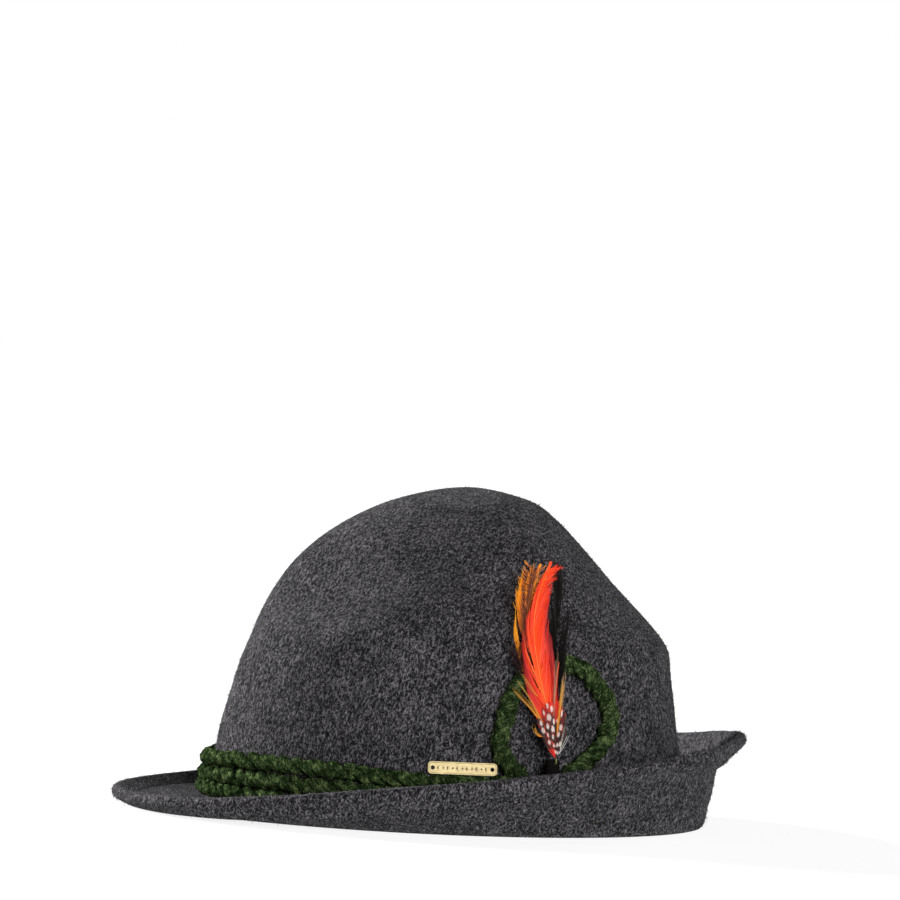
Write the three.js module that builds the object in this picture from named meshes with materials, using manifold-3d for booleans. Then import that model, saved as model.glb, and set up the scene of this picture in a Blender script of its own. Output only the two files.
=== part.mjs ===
// A felt hat with a pinched crown, a brim that turns up towards the back, three rows of twisted
// cord with a knotted loop, a small brass plate and a tuft of feathers.
// Millimetres. +Z up, the wearer faces -Y, and the wearer's left is +X, where the feathers are.
// z = 0 is the flat ring of the brim's underside that the hat stands on.
import * as THREE from 'three';
import { mergeVertices } from 'three/addons/utils/BufferGeometryUtils.js';
import Module from 'manifold-3d';

const wasm = await Module();
wasm.setup();

// Felt body
const wall = 3;
const crown_height = 146;
const head_front = 104;
const head_back = 104.5;
const head_half = 88;
const crest_shift = 6;
const band_corner = 4;
const brim_front = 41;
const brim_side = 35;
const brim_back = 25.3;
const rise_front = 4.8;
const rise_front_side = 7.2;
const rise_side = 20;
const rise_back_side = 31.8;
const rise_back = 39.5;
const hem_width = 12;
const hem_fold = 2.6;

// Dents at the front of the crown
const dent_low = 80;
const dent_front = 75;
const dent_rear = 34;
const dent_climb = 2.6;
const dent_taper = 1.5;
const ridge_lean = 6;
const ridge_rear = 20;
const hollow_edge = 10;

// Cords
const clearance = 0.3;
const cord_diameter = 6.7;
const band_low = 5.6;
const band_dip = 1.9;
const loop_diameter = 7;

// Knot and what stands on it
const knot_back = 44.5;
const knot_reach = 14;
const knot_length = 25;
const knot_height = 17;
const tuft_back = 3;
const binding_diameter = 6.6;
const binding_length = 13.5;
const feather_height = 82.5;
const feather_thick = 1.3;

// Name plate
const plate_length = 30;
const plate_height = 5.7;
const plate_thick = 1;
const plate_back = 11.5;
const plate_corner = 1.6;
const plate_hole = 0.9;
const plate_hole_inset = 2.2;

// Heights where the crest starts to shift back and where the ridge leans most, with the reach of
// that lean and of the hollows, as shares of crown_height and, for hollow_long, of head_front
const crest_start = 0.41;
const ridge_high = 0.788;
const ridge_tall = 0.116;
const hollow_tall = 0.165;
const hollow_long = 0.24;

// Crown sections from the cord band up to the crest, as shares of crown_height, head_front,
// head_back and head_half.
const CROWN = [
  { up: 0.082, front: 1.000, back: 1.000, half: 1.000 },
  { up: 0.219, front: 0.976, back: 0.981, half: 0.966 },
  { up: 0.356, front: 0.933, back: 0.955, half: 0.926 },
  { up: 0.466, front: 0.889, back: 0.930, half: 0.898 },
  { up: 0.534, front: 0.859, back: 0.907, half: 0.874 },
  { up: 0.596, front: 0.830, back: 0.838, half: 0.836 },
  { up: 0.671, front: 0.788, back: 0.722, half: 0.773 },
  { up: 0.760, front: 0.714, back: 0.589, half: 0.682 },
  { up: 0.842, front: 0.601, back: 0.474, half: 0.580 },
  { up: 0.911, front: 0.457, back: 0.368, half: 0.449 },
  { up: 0.966, front: 0.269, back: 0.244, half: 0.290 },
  { up: 1.000, front: 0.000, back: 0.000, half: 0.000 },
];

// The dent on each side of the ridge. squeeze: share of the half width taken off at the very front.
// rise: height over which it comes in, as a share of crown_height. crease: how soft its lower edge
// is, as a share of rise. hollow, at and high: depth, place and height of its deepest spot, as
// shares of head_half, head_front and crown_height.
const DENT = {
  left: { squeeze: 0.52, rise: 0.233, crease: 0.09, hollow: 0.057, at: 0.058, high: 0.808 },
  right: { squeeze: 0.70, rise: 0.233, crease: 0.15, hollow: 0.091, at: -0.327, high: 0.767 },
};

// Brim sections at every eighth of a turn from the front to the back. floor is the end of the flat
// ring that the hat stands on and mid the middle of the slope, as shares of the brim's width there
// and of the rise. hem_in is how far in from the rim the hem's lower edge lies, as a share of
// hem_width, and hem_up its height over the fold's thickness, as a share of what is left of the rise.
const BRIM = [
  { rise: rise_front, floor: 0.32, mid_out: 0.62, mid_up: 0.12, hem_in: 0.39, hem_up: 0.06 },
  { rise: rise_front_side, floor: 0.30, mid_out: 0.60, mid_up: 0.12, hem_in: 0.42, hem_up: 0.08 },
  { rise: rise_side, floor: 0.257, mid_out: 0.543, mid_up: 0.20, hem_in: 0.50, hem_up: 0.56 },
  { rise: rise_back_side, floor: 0.28, mid_out: 0.48, mid_up: 0.28, hem_in: 0.66, hem_up: 0.68 },
  { rise: rise_back, floor: 0.34, mid_out: 0.50, mid_up: 0.30, hem_in: 0.70, hem_up: 0.75 },
];

// The loop's route against the crown: back is the distance behind the crown's middle as a share of
// head_back, and up the height as a share of crown_height. It leaves the knot, rises, turns over and
// comes back to the knot.
const LOOP = [
  { back: 0.410, up: 0.116 }, { back: 0.355, up: 0.175 }, { back: 0.305, up: 0.210 },
  { back: 0.275, up: 0.255 }, { back: 0.284, up: 0.304 }, { back: 0.294, up: 0.345 },
  { back: 0.306, up: 0.390 }, { back: 0.345, up: 0.451 }, { back: 0.400, up: 0.492 },
  { back: 0.465, up: 0.510 }, { back: 0.530, up: 0.508 }, { back: 0.590, up: 0.490 },
  { back: 0.650, up: 0.445 }, { back: 0.695, up: 0.393 }, { back: 0.714, up: 0.344 },
  { back: 0.705, up: 0.300 }, { back: 0.675, up: 0.255 }, { back: 0.620, up: 0.218 },
  { back: 0.553, up: 0.180 }, { back: 0.480, up: 0.116 },
];

// Lumps of the knot in its own directions, as shares of knot_length, knot_reach and knot_height.
const LUMPS = [
  { along: 0.00, out: 0.50, up: 0.50, long: 0.46, deep: 0.50, tall: 0.50 },
  { along: -0.30, out: 0.52, up: 0.36, long: 0.26, deep: 0.48, tall: 0.36 },
  { along: 0.28, out: 0.52, up: 0.62, long: 0.26, deep: 0.48, tall: 0.34 },
];

// The knot's frayed end: place of its middle, length and both thicknesses, as the same shares
const FRAY = { along: 0.42, out: 0.62, up: 0.55, long: 0.50, thick: 0.25, thin: 0.14 };
// How far along the crown the band sinks under the plate, as an angle, and how much of that dip the
// plate follows
const dip_reach = 0.35;
const plate_seat = 0.8;
// Where the band's rows stop on each side of the knot's middle, and how high the sleeve's foot
// sits in the knot, as shares of knot_length and knot_height
const band_stop = 0.3;
const binding_seat = 0.85;

// Locks of each feather. foot, bow and tip: distance behind the knot's middle at the foot, half way
// and at the tip. start and reach: heights of foot and tip. broad: width. All are shares of
// feather_height. layer counts the feathers outwards from the crown, in steps of their thickness
// and clearance.
const FEATHERS = {
  black: { color: 0x17181a, layer: -1.5, locks: [
    { foot: 0.00, bow: 0.00, tip: 0.030, start: 0.0, reach: 0.99, broad: 0.10 },
    { foot: 0.00, bow: -0.03, tip: -0.005, start: 0.0, reach: 0.94, broad: 0.09 },
  ] },
  yellow: { color: 0xd98a18, layer: -0.5, locks: [
    { foot: -0.01, bow: -0.14, tip: -0.170, start: 0.0, reach: 0.98, broad: 0.10 },
    { foot: -0.01, bow: -0.10, tip: -0.120, start: 0.0, reach: 1.00, broad: 0.09 },
  ] },
  red: { color: 0xf0441c, layer: 0.5, locks: [
    { foot: 0.00, bow: -0.13, tip: -0.080, start: 0.0, reach: 0.96, broad: 0.13 },
    { foot: 0.00, bow: -0.07, tip: -0.040, start: 0.0, reach: 0.99, broad: 0.13 },
  ] },
  spotted: { color: 0x3a2a26, layer: 1.5, locks: [
    { foot: 0.005, bow: -0.02, tip: -0.050, start: 0.0, reach: 0.29, broad: 0.10 },
    { foot: 0.005, bow: 0.005, tip: 0.020, start: 0.0, reach: 0.31, broad: 0.10 },
  ] },
};
// How far the feathers lean in towards the crown at their tips, how late they start to, how much the
// locks bow, and their outline from foot to tip
const feather_lean = 9;
const lean_curve = 1.6;
const bow_pull = 1.3;
const BLADE = [0.20, 0.50, 0.80, 0.97, 1.00, 0.90, 0.60, 0.14];

// Steps of the faceted surfaces
const around = 52;
const crown_steps = 16;
const brim_steps = [0, 1, 1.5, 2, 2.5, 3, 3.12, 3.5, 4];
const band_steps = 44;
const loop_steps = 34;
const cord_sides = 8;

const smooth = (from, to, value) => THREE.MathUtils.smoothstep(value, from, to);
const swell = (value, middle, spread) => Math.exp(-(((value - middle) / spread) ** 2));

function cardinal(before, from, to, after, f) {
  return 0.5 * (2 * from + (to - before) * f + (2 * before - 5 * from + 4 * to - after) * f ** 2
    + (3 * from - before - 3 * to + after) * f ** 3);
}

// The crown's height and three half axes at a row number u, on a smooth curve through the rows.
// Past the crest the curve comes down on the other side, so the top is round.
function section(u) {
  const last = CROWN.length - 1;
  const i = Math.min(Math.floor(u), last - 1);
  const f = u - i;
  const read = (key, size) => {
    const at = (row) => {
      if (row < 0) return 2 * CROWN[0][key] - CROWN[1][key];
      if (row > last) return key === 'up' ? CROWN[last - 1].up : -CROWN[last - 1][key];
      return CROWN[row][key];
    };
    return size * cardinal(at(i - 1), at(i), at(i + 1), at(i + 2), f);
  };
  return {
    up: read('up', crown_height),
    front: read('front', head_front),
    back: read('back', head_back),
    half: read('half', head_half),
  };
}

// How the dents move a point of the plain crown. Above the dent's lower edge, which climbs towards
// the crest at dent_rear, the half width shrinks by a share that grows to the front.
function dented(x, y, z, front) {
  const dent = x > 0 ? DENT.left : DENT.right;
  const rise = dent.rise * crown_height;
  const run = THREE.MathUtils.clamp((y + dent_front) / (dent_front + dent_rear), 0, 1.2);
  const edge = dent_low + (crown_height - dent_low) * run ** dent_climb;
  const t = (z - edge) / rise;
  const soft = Math.min(0.5 * (t + Math.hypot(t, dent.crease)), 1);
  const forward = THREE.MathUtils.clamp((dent_rear - y) / (dent_rear + front), 0, 1);
  const squeeze = dent.squeeze * forward ** dent_taper * soft * (2 - soft);
  const spot = swell(y, dent.at * head_front, hollow_long * head_front)
    * swell(z, dent.high * crown_height, hollow_tall * crown_height);
  const hollow = dent.hollow * head_half * spot * Math.tanh(x / hollow_edge);
  const lean = ridge_lean * swell(z, ridge_high * crown_height, ridge_tall * crown_height);
  const ridge = THREE.MathUtils.clamp((ridge_rear - y) / (ridge_rear + front), 0, 1) ** 2;
  return new THREE.Vector3(x * (1 - squeeze) - hollow + lean * ridge, y, z);
}

// A point of the crown's outside. phi = 0 is the front and 90 degrees the wearer's left.
function crownPoint(phi, u) {
  const { up, front, back, half } = section(u);
  const c = Math.cos(phi);
  const shift = crest_shift * smooth(crest_start * crown_height, crown_height, up);
  const y = -(c > 0 ? front : back) * c + shift;
  return dented(half * Math.sin(phi), y, up, front);
}

// The row number at a height
function rowAt(up) {
  let low = 0;
  let high = CROWN.length - 1;
  for (let n = 0; n < 40; n += 1) {
    const middle = (low + high) / 2;
    if (section(middle).up < up) low = middle;
    else high = middle;
  }
  return low;
}

// A point of the crown's wall at a height, with the directions along the wall, up it and out of it
function wallFrame(phi, up) {
  const u = rowAt(Math.max(up, CROWN[0].up * crown_height));
  const step = 0.002;
  const point = crownPoint(phi, u);
  point.z = up;
  const along = crownPoint(phi + step, u).sub(crownPoint(phi - step, u)).normalize();
  const rise = crownPoint(phi, u + step).sub(crownPoint(phi, Math.max(u - step, 0))).normalize();
  const out = new THREE.Vector3().crossVectors(along, rise).normalize();
  return { point, along, rise, out };
}

// The angle on the wearer's left at a distance behind the crown's middle
function phiOnLeft(back, up) {
  const row = section(rowAt(up));
  const shift = crest_shift * smooth(crest_start * crown_height, crown_height, up);
  const y = back - shift;
  return Math.acos(THREE.MathUtils.clamp(-y / (y > 0 ? row.back : row.front), -1, 1));
}

// The brim's inner and outer outline at phi, seen from above
function brimLine(phi) {
  const c = Math.cos(phi);
  const s = Math.sin(phi);
  const long = c > 0 ? head_front : head_back;
  const reach = c > 0 ? head_front + brim_front : head_back + brim_back;
  const foot = new THREE.Vector3(head_half * s, -long * c, 0);
  const rim = new THREE.Vector3((head_half + brim_side) * s, -reach * c, 0);
  return { foot, away: rim.sub(foot) };
}

// The brim's section at phi, on a smooth curve through the rows, alike on the left and right
function brimRow(phi) {
  const last = BRIM.length - 1;
  const place = (Math.min(phi, 2 * Math.PI - phi) / Math.PI) * last;
  const i = Math.min(Math.floor(place), last - 1);
  const at = (n) => BRIM[n < 0 ? -n : n > last ? 2 * last - n : n];
  const read = (key) => cardinal(at(i - 1)[key], at(i)[key], at(i + 1)[key], at(i + 2)[key], place - i);
  const width = brimLine(phi).away.length();
  const rise = read('rise');
  return {
    floor: read('floor') * width,
    mid: [read('mid_out') * width, read('mid_up') * rise],
    edge: [width - read('hem_in') * hem_width, hem_fold + read('hem_up') * (rise - hem_fold)],
    rim: [width, rise],
  };
}

// The underside of the brim at phi as a point [out, up] for t = 0 at the wall, 1 at the end of the
// flat ring, 2 in the slope, 3 at the hem's lower edge and 4 at the rim. It is a cubic through
// those five knots, flat up to the end of the ring.
function brimUnder(row, t) {
  const knots = [[0, 0], [row.floor, 0], row.mid, row.edge, row.rim];
  const i = Math.min(Math.floor(t), 3);
  const f = t - i;
  const span = (n) => Math.hypot(knots[n + 1][0] - knots[n][0], knots[n + 1][1] - knots[n][1]);
  const slope = (n, axis) => (knots[n + 1][axis] - knots[n][axis]) / span(n);
  const tangent = (n, axis) => {
    if (n === 0) return slope(0, axis);
    if (n === 4) return slope(3, axis);
    const d0 = span(n - 1);
    const d1 = span(n);
    const value = (slope(n - 1, axis) * d1 + slope(n, axis) * d0) / (d0 + d1);
    return n === 1 && axis === 1 ? 0 : value;
  };
  return [0, 1].map((axis) => {
    const m0 = tangent(i, axis) * span(i);
    const m1 = tangent(i + 1, axis) * span(i);
    return (2 * f ** 3 - 3 * f ** 2 + 1) * knots[i][axis] + (f ** 3 - 2 * f ** 2 + f) * m0
      + (3 * f ** 2 - 2 * f ** 3) * knots[i + 1][axis] + (f ** 3 - f ** 2) * m1;
  });
}

// The whole section of brim and corner at phi: the top from the crown's wall out to the rim, round
// the hem's edge and back along the underside into the hollow. Points are [out, up].
function brimLoop(phi) {
  const row = brimRow(phi);
  const step = 0.01;
  const points = brim_steps.map((t) => {
    const here = brimUnder(row, t);
    const a = brimUnder(row, Math.max(t - step, 0));
    const b = brimUnder(row, Math.min(t + step, 4));
    const size = Math.hypot(b[0] - a[0], b[1] - a[1]);
    return { t, here, normal: [-(b[1] - a[1]) / size, (b[0] - a[0]) / size] };
  });
  const offset = (p, d) => [p.here[0] + p.normal[0] * d, p.here[1] + p.normal[1] * d];
  const fold = (t) => hem_fold * smooth(3, 3.12, t);
  const corner = wall + band_corner;
  const arc = [0, 30, 60, 90].map(THREE.MathUtils.degToRad);
  const top = [
    ...arc.map((a) => [band_corner * (1 - Math.cos(a)), corner - band_corner * Math.sin(a)]),
    ...points.slice(1).map((p) => offset(p, wall)),
  ];
  const rim = points[points.length - 1];
  const round = (wall + hem_fold) / 2;
  const middle = offset(rim, wall - round);
  const edge = [45, 90, 135].map(THREE.MathUtils.degToRad).map((a) => [
    middle[0] + round * (rim.normal[0] * Math.cos(a) + rim.normal[1] * Math.sin(a)),
    middle[1] + round * (rim.normal[1] * Math.cos(a) - rim.normal[0] * Math.sin(a)),
  ]);
  const under = points.slice(1).reverse().map((p) => offset(p, -fold(p.t)));
  const inside = [90, 60, 30, 0].map(THREE.MathUtils.degToRad)
    .map((a) => [band_corner - corner * Math.cos(a), corner - corner * Math.sin(a)]);
  return [...top, ...edge, ...under, ...inside];
}

function brimPoint(phi, [out, up]) {
  const { foot, away } = brimLine(phi);
  return foot.addScaledVector(away.normalize(), out).setZ(up);
}

// A closed body from rings of points that run from one pole to the other
function ringBody(pole, rings, otherPole) {
  const count = rings[0].length;
  const points = [pole, ...rings.flat(), otherPole];
  const faces = [];
  const at = (ring, n) => 1 + ring * count + (n % count);
  for (let n = 0; n < count; n += 1) {
    faces.push(0, at(0, n), at(0, n + 1));
    for (let ring = 0; ring < rings.length - 1; ring += 1) {
      faces.push(at(ring, n), at(ring + 1, n), at(ring + 1, n + 1));
      faces.push(at(ring, n), at(ring + 1, n + 1), at(ring, n + 1));
    }
    faces.push(at(rings.length - 1, n), points.length - 1, at(rings.length - 1, n + 1));
  }
  const geometry = new THREE.BufferGeometry();
  const flat = points.flatMap((p) => p.toArray());
  geometry.setAttribute('position', new THREE.Float32BufferAttribute(flat, 3));
  geometry.setIndex(faces);
  return geometry;
}

function feltBody() {
  const angles = Array.from({ length: around }, (_, n) => (2 * Math.PI * n) / around);
  const top = CROWN.length - 1;
  const rows = Array.from({ length: crown_steps }, (_, n) => top * (1 - (n + 1) / crown_steps));
  rows.unshift(top - 0.25);
  const outside = rows.map((u) => angles.map((phi) => crownPoint(phi, u)));
  const brims = angles.map(brimLoop);
  const brim = brims[0].map((_, k) => angles.map((phi, n) => brimPoint(phi, brims[n][k])));
  const inward = (phi, u) => {
    const step = 0.01;
    const along = crownPoint(phi + step, u).sub(crownPoint(phi - step, u));
    const rise = crownPoint(phi, Math.min(u + step, top)).sub(crownPoint(phi, Math.max(u - step, 0)));
    const out = new THREE.Vector3().crossVectors(along, rise).normalize();
    return crownPoint(phi, u).addScaledVector(out, -wall);
  };
  const inside = rows.slice().reverse().map((u) => angles.map((phi) => inward(phi, u)));
  const crest = crownPoint(0, top);
  const ceiling = crest.clone().setZ(crest.z - wall);
  return ringBody(crest, [...outside, ...brim, ...inside], ceiling);
}

// A round cord along a curve, with flat ends
function cord(curve, diameter, steps) {
  const shape = new THREE.Shape();
  for (let n = 0; n < cord_sides; n += 1) {
    const a = (2 * Math.PI * (n + 0.5)) / cord_sides;
    const point = [(diameter / 2) * Math.cos(a), (diameter / 2) * Math.sin(a)];
    if (n === 0) shape.moveTo(...point);
    else shape.lineTo(...point);
  }
  shape.closePath();
  return new THREE.ExtrudeGeometry(shape, { steps, extrudePath: curve });
}

const knot_phi = phiOnLeft(knot_back, band_low + knot_height / 2);
const knot = wallFrame(knot_phi, band_low + knot_height / 2);
const knot_half_turn = (band_stop * knot_length) / head_half;

// Where the plate sits: on the band's top row, which dips under it
const band_top = band_low + 3 * cord_diameter + 2 * clearance;
const plate_up = band_top - plate_seat * band_dip + plate_height / 2;
const plate_phi = phiOnLeft(plate_back, plate_up);

// One row of the band: round the crown, from one side of the knot to the other
class BandCurve extends THREE.Curve {
  constructor(up, from, to) {
    super();
    this.up = up;
    this.from = from;
    this.to = to;
  }

  getPoint(t) {
    const phi = THREE.MathUtils.lerp(this.from, this.to, t);
    const apart = Math.atan2(Math.sin(phi - plate_phi), Math.cos(phi - plate_phi));
    const { point, out } = wallFrame(phi, this.up - band_dip * swell(apart, 0, dip_reach));
    return point.addScaledVector(out, cord_diameter / 2 + clearance);
  }
}

function bandRow(n, diameter, half_turn) {
  const up = band_low + cord_diameter / 2 + n * (cord_diameter + clearance);
  const curve = new BandCurve(up, knot_phi + half_turn, knot_phi + 2 * Math.PI - half_turn);
  return cord(curve, diameter, band_steps);
}

// A point of the knot from its own directions: along the crown to the back, outwards and up
function knotPoint(along, out, up) {
  const side = new THREE.Vector3(knot.along.x, knot.along.y, 0).normalize();
  const away = new THREE.Vector3(side.y, -side.x, 0);
  if (away.x < 0) away.negate();
  return knot.point.clone().setZ(band_low + up).addScaledVector(side, along)
    .addScaledVector(away, out);
}

function loopCurve() {
  const points = LOOP.map((row) => {
    const up = row.up * crown_height;
    const { point, out } = wallFrame(phiOnLeft(row.back * head_back, up), up);
    return point.addScaledVector(out, loop_diameter / 2 + clearance);
  });
  return new THREE.CatmullRomCurve3(points);
}

// Solids from closed geometries, to join and cut them
function solid(geometry) {
  const bare = geometry.clone();
  bare.deleteAttribute('normal');
  bare.deleteAttribute('uv');
  const merged = mergeVertices(bare, 1e-4);
  return new wasm.Manifold(new wasm.Mesh({
    numProp: 3,
    vertProperties: new Float32Array(merged.attributes.position.array),
    triVerts: new Uint32Array(merged.index.array),
  }));
}

function geometryOf(body) {
  const mesh = body.getMesh();
  const geometry = new THREE.BufferGeometry();
  geometry.setAttribute('position', new THREE.BufferAttribute(mesh.vertProperties, 3));
  geometry.setIndex(new THREE.BufferAttribute(mesh.triVerts, 1));
  return geometry;
}

const fuse = (bodies) => bodies.reduce((sum, body) => sum.add(body));

// The sleeve that holds the quills stands upright in the knot's top
const binding_foot = band_low + binding_seat * knot_height;
const binding_top = binding_foot + binding_length;
const tuft = knotPoint(tuft_back, knot_reach / 2, 0);

function sleeve(grow) {
  const r = binding_diameter / 2 + grow;
  const profile = [
    [0, binding_foot - grow], [0.8 * r, binding_foot - grow], [r, binding_foot + 1],
    [r, binding_top - 1.5], [0.9 * r, binding_top], [0, binding_top],
  ];
  const geometry = new THREE.LatheGeometry(profile.map(([x, y]) => new THREE.Vector2(x, y)), 10);
  return geometry.rotateX(Math.PI / 2).translate(tuft.x, tuft.y, 0);
}

function knotAndLoop() {
  const turn = Math.atan2(knot.along.y, knot.along.x);
  const lumps = LUMPS.map((lump) => {
    const geometry = new THREE.SphereGeometry(1, 10, 7);
    geometry.scale(lump.long * knot_length, lump.deep * knot_reach, lump.tall * knot_height);
    geometry.rotateZ(turn);
    const middle = knotPoint(
      lump.along * knot_length,
      clearance + lump.out * knot_reach,
      lump.up * knot_height,
    );
    return solid(geometry.translate(middle.x, middle.y, middle.z));
  });
  const fray = new THREE.CylinderGeometry(FRAY.thick * knot_height, FRAY.thin * knot_height,
    FRAY.long * knot_length, 9);
  fray.rotateZ(-Math.PI / 2).rotateZ(turn);
  const fray_middle = knotPoint(
    FRAY.along * knot_length,
    FRAY.out * knot_reach,
    FRAY.up * knot_height,
  );
  lumps.push(solid(fray.translate(fray_middle.x, fray_middle.y, fray_middle.z)));
  lumps.push(solid(cord(loopCurve(), loop_diameter, loop_steps)));
  let body = fuse(lumps);
  const wider = cord_diameter + 2 * clearance;
  const longer = knot_half_turn - clearance / head_half;
  [0, 1, 2].forEach((n) => {
    body = body.subtract(solid(bandRow(n, wider, longer)));
  });
  return geometryOf(body.subtract(solid(sleeve(clearance))));
}

// One lock of a feather: a thin blade with a raised middle, from its foot to its tip
function lock(feather, { foot, bow, tip, start, reach, broad }) {
  const pitch = feather_thick + clearance;
  const last = BLADE.length - 1;
  const side = new THREE.Vector3(0, 1, 0);
  const lean = (s) => feather_lean * s ** lean_curve;
  const rings = BLADE.map((share, n) => {
    const s = start + (reach - start) * (n / last);
    const f = n / last;
    const behind = foot * (1 - f) ** 2 + 2 * bow * f * (1 - f) * bow_pull + tip * f ** 2;
    const middle = new THREE.Vector3(
      tuft.x + feather.layer * pitch - lean(s),
      tuft.y + behind * feather_height,
      binding_top + clearance + s * feather_height,
    );
    const wide = (0.5 * share * broad) * feather_height;
    const thick = 0.5 * feather_thick * (n === last ? 0.4 : 1);
    return [[1, 0], [0.45, 1], [-0.45, 1], [-1, 0], [-0.45, -1], [0.45, -1]].map(([a, b]) => middle
      .clone().addScaledVector(side, -a * wide).add(new THREE.Vector3(b * thick, 0, 0)));
  });
  const centre = (ring) => ring.reduce((sum, p) => sum.add(p), new THREE.Vector3())
    .divideScalar(ring.length);
  return ringBody(centre(rings[last]), rings.slice().reverse(), centre(rings[0]));
}

function featherBody(feather) {
  return geometryOf(fuse(feather.locks.map((row) => solid(lock(feather, row)))));
}

// The plate lies flat against the felt on the top row
function plate() {
  const x = plate_length / 2;
  const y = plate_height / 2;
  const r = plate_corner;
  const shape = new THREE.Shape();
  shape.moveTo(-x + r, -y);
  shape.lineTo(x - r, -y);
  shape.absarc(x - r, -y + r, r, -Math.PI / 2, 0, false);
  shape.lineTo(x, y - r);
  shape.absarc(x - r, y - r, r, 0, Math.PI / 2, false);
  shape.lineTo(-x + r, y);
  shape.absarc(-x + r, y - r, r, Math.PI / 2, Math.PI, false);
  shape.lineTo(-x, -y + r);
  shape.absarc(-x + r, -y + r, r, Math.PI, 1.5 * Math.PI, false);
  [-1, 1].forEach((end) => {
    const hole = new THREE.Path();
    hole.absarc(end * (x - plate_hole_inset), 0, plate_hole, 0, 2 * Math.PI, true);
    shape.holes.push(hole);
  });
  const depth = plate_thick;
  const geometry = new THREE.ExtrudeGeometry(shape, { depth, bevelEnabled: false, curveSegments: 4 });
  const { point, along, rise, out } = wallFrame(plate_phi, plate_up);
  point.addScaledVector(out, clearance);
  const place = new THREE.Matrix4().makeBasis(along, rise, out).setPosition(point);
  return geometry.applyMatrix4(place);
}

// The origin lies under the middle of the brim, halfway between its front and its back
const group = new THREE.Group();
group.position.y = (head_front + brim_front - head_back - brim_back) / 2;

function addPart(name, geometry, color, roughness, metalness = 0) {
  const material = new THREE.MeshStandardMaterial({ color, roughness, metalness });
  const mesh = new THREE.Mesh(geometry, material);
  mesh.name = name;
  group.add(mesh);
}

addPart('felt_body', feltBody(), 0x4a4a4e, 0.95);
['cord_row_low', 'cord_row_mid', 'cord_row_top'].forEach((name, n) => {
  addPart(name, bandRow(n, cord_diameter, knot_half_turn), 0x1f3a1c, 0.9);
});
addPart('cord_loop', knotAndLoop(), 0x1f3a1c, 0.9);
addPart('name_plate', plate(), 0xb59a5e, 0.35, 1);
addPart('feather_binding', sleeve(0), 0x1c1a18, 0.8);
Object.entries(FEATHERS).forEach(([name, feather]) => {
  addPart(`feather_${name}`, featherBody(feather), feather.color, 0.6);
});

export default group;
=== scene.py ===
"""A grey felt tyrolean hat with a twisted green cord, a brass plate and a feather tuft.

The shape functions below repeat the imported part's own: a crown of smooth sections with two front
dents, a brim swept from five sections, cords laid on the crown's wall. They work in millimetres in
the hat's own frame: z = 0 is the ring the hat stands on, the wearer faces -Y, and the wearer's left,
with the feathers, is +X. Everything is worked out as whole numpy arrays and turned into metres when
a mesh is made."""

import math

import bpy
import numpy as np
from mathutils import Matrix, Vector


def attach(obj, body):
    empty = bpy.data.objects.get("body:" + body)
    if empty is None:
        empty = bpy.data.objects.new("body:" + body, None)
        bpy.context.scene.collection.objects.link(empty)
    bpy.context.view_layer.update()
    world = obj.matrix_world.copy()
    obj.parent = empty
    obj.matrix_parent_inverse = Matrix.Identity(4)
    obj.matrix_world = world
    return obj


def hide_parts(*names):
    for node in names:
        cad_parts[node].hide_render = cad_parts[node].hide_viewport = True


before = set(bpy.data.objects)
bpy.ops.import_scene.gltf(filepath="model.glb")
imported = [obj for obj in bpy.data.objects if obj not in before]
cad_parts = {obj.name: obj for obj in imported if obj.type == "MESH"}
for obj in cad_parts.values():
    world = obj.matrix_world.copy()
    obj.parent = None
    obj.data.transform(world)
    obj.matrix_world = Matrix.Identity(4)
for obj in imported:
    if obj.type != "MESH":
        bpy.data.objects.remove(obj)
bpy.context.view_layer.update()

# Felt body
WALL = 3.0
CROWN_HEIGHT = 146.0
HEAD_FRONT = 104.0
HEAD_BACK = 104.5
HEAD_HALF = 88.0
CREST_SHIFT = 6.0
BAND_CORNER = 4.0
BRIM_FRONT = 41.0
BRIM_SIDE = 35.0
BRIM_BACK = 25.3
RISE_FRONT = 4.8
RISE_FRONT_SIDE = 7.2
RISE_SIDE = 20.0
RISE_BACK_SIDE = 31.8
RISE_BACK = 39.5
HEM_WIDTH = 12.0
HEM_FOLD = 2.6
SHIFT_BACK = (HEAD_FRONT + BRIM_FRONT - HEAD_BACK - BRIM_BACK) / 2

# Dents
DENT_LOW = 80.0
DENT_FRONT = 75.0
DENT_REAR = 34.0
DENT_CLIMB = 2.6
DENT_TAPER = 1.5
RIDGE_LEAN = 6.0
RIDGE_REAR = 20.0
HOLLOW_EDGE = 10.0
CREST_START = 0.41
RIDGE_HIGH = 0.788
RIDGE_TALL = 0.116
HOLLOW_TALL = 0.165
HOLLOW_LONG = 0.24

# Cords, knot, tuft and plate
CLEARANCE = 0.3
CORD_DIAMETER = 6.7
BAND_LOW = 5.6
BAND_DIP = 1.9
DIP_REACH = 0.35
LOOP_DIAMETER = 7.0
KNOT_BACK = 44.5
KNOT_REACH = 14.0
KNOT_LENGTH = 25.0
KNOT_HEIGHT = 17.0
BINDING_DIAMETER = 6.6
BINDING_LENGTH = 13.5
BINDING_SEAT = 0.85
TUFT_BACK = 3.0
FEATHER_HEIGHT = 82.5
PLATE_LENGTH = 30.0
PLATE_HEIGHT = 5.7
PLATE_THICK = 1.0
PLATE_BACK = 11.5
PLATE_SEAT = 0.8
PLATE_CORNER = 1.6
PLATE_HOLE = 0.9
PLATE_HOLE_INSET = 2.2
PLATE_RECESS = 0.18
STUDS = 11
STUD_STEP = 2.05

# Twist of the cords: plies, thickness of each against the cord's, length of one full turn
PLIES = 3
PLY_SHARE = 0.265
BAND_LAY = 21.5
LOOP_LAY = 19.0
KNOT_LAY = 22.0

# How far the twisted cords pass the plain ones, and how far they sit off the crown's wall
BAND_SPREAD = 0.7
LOOP_SPREAD = 1.2
BAND_SINK = 0.4
LOOP_STAND = 0.5

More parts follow.
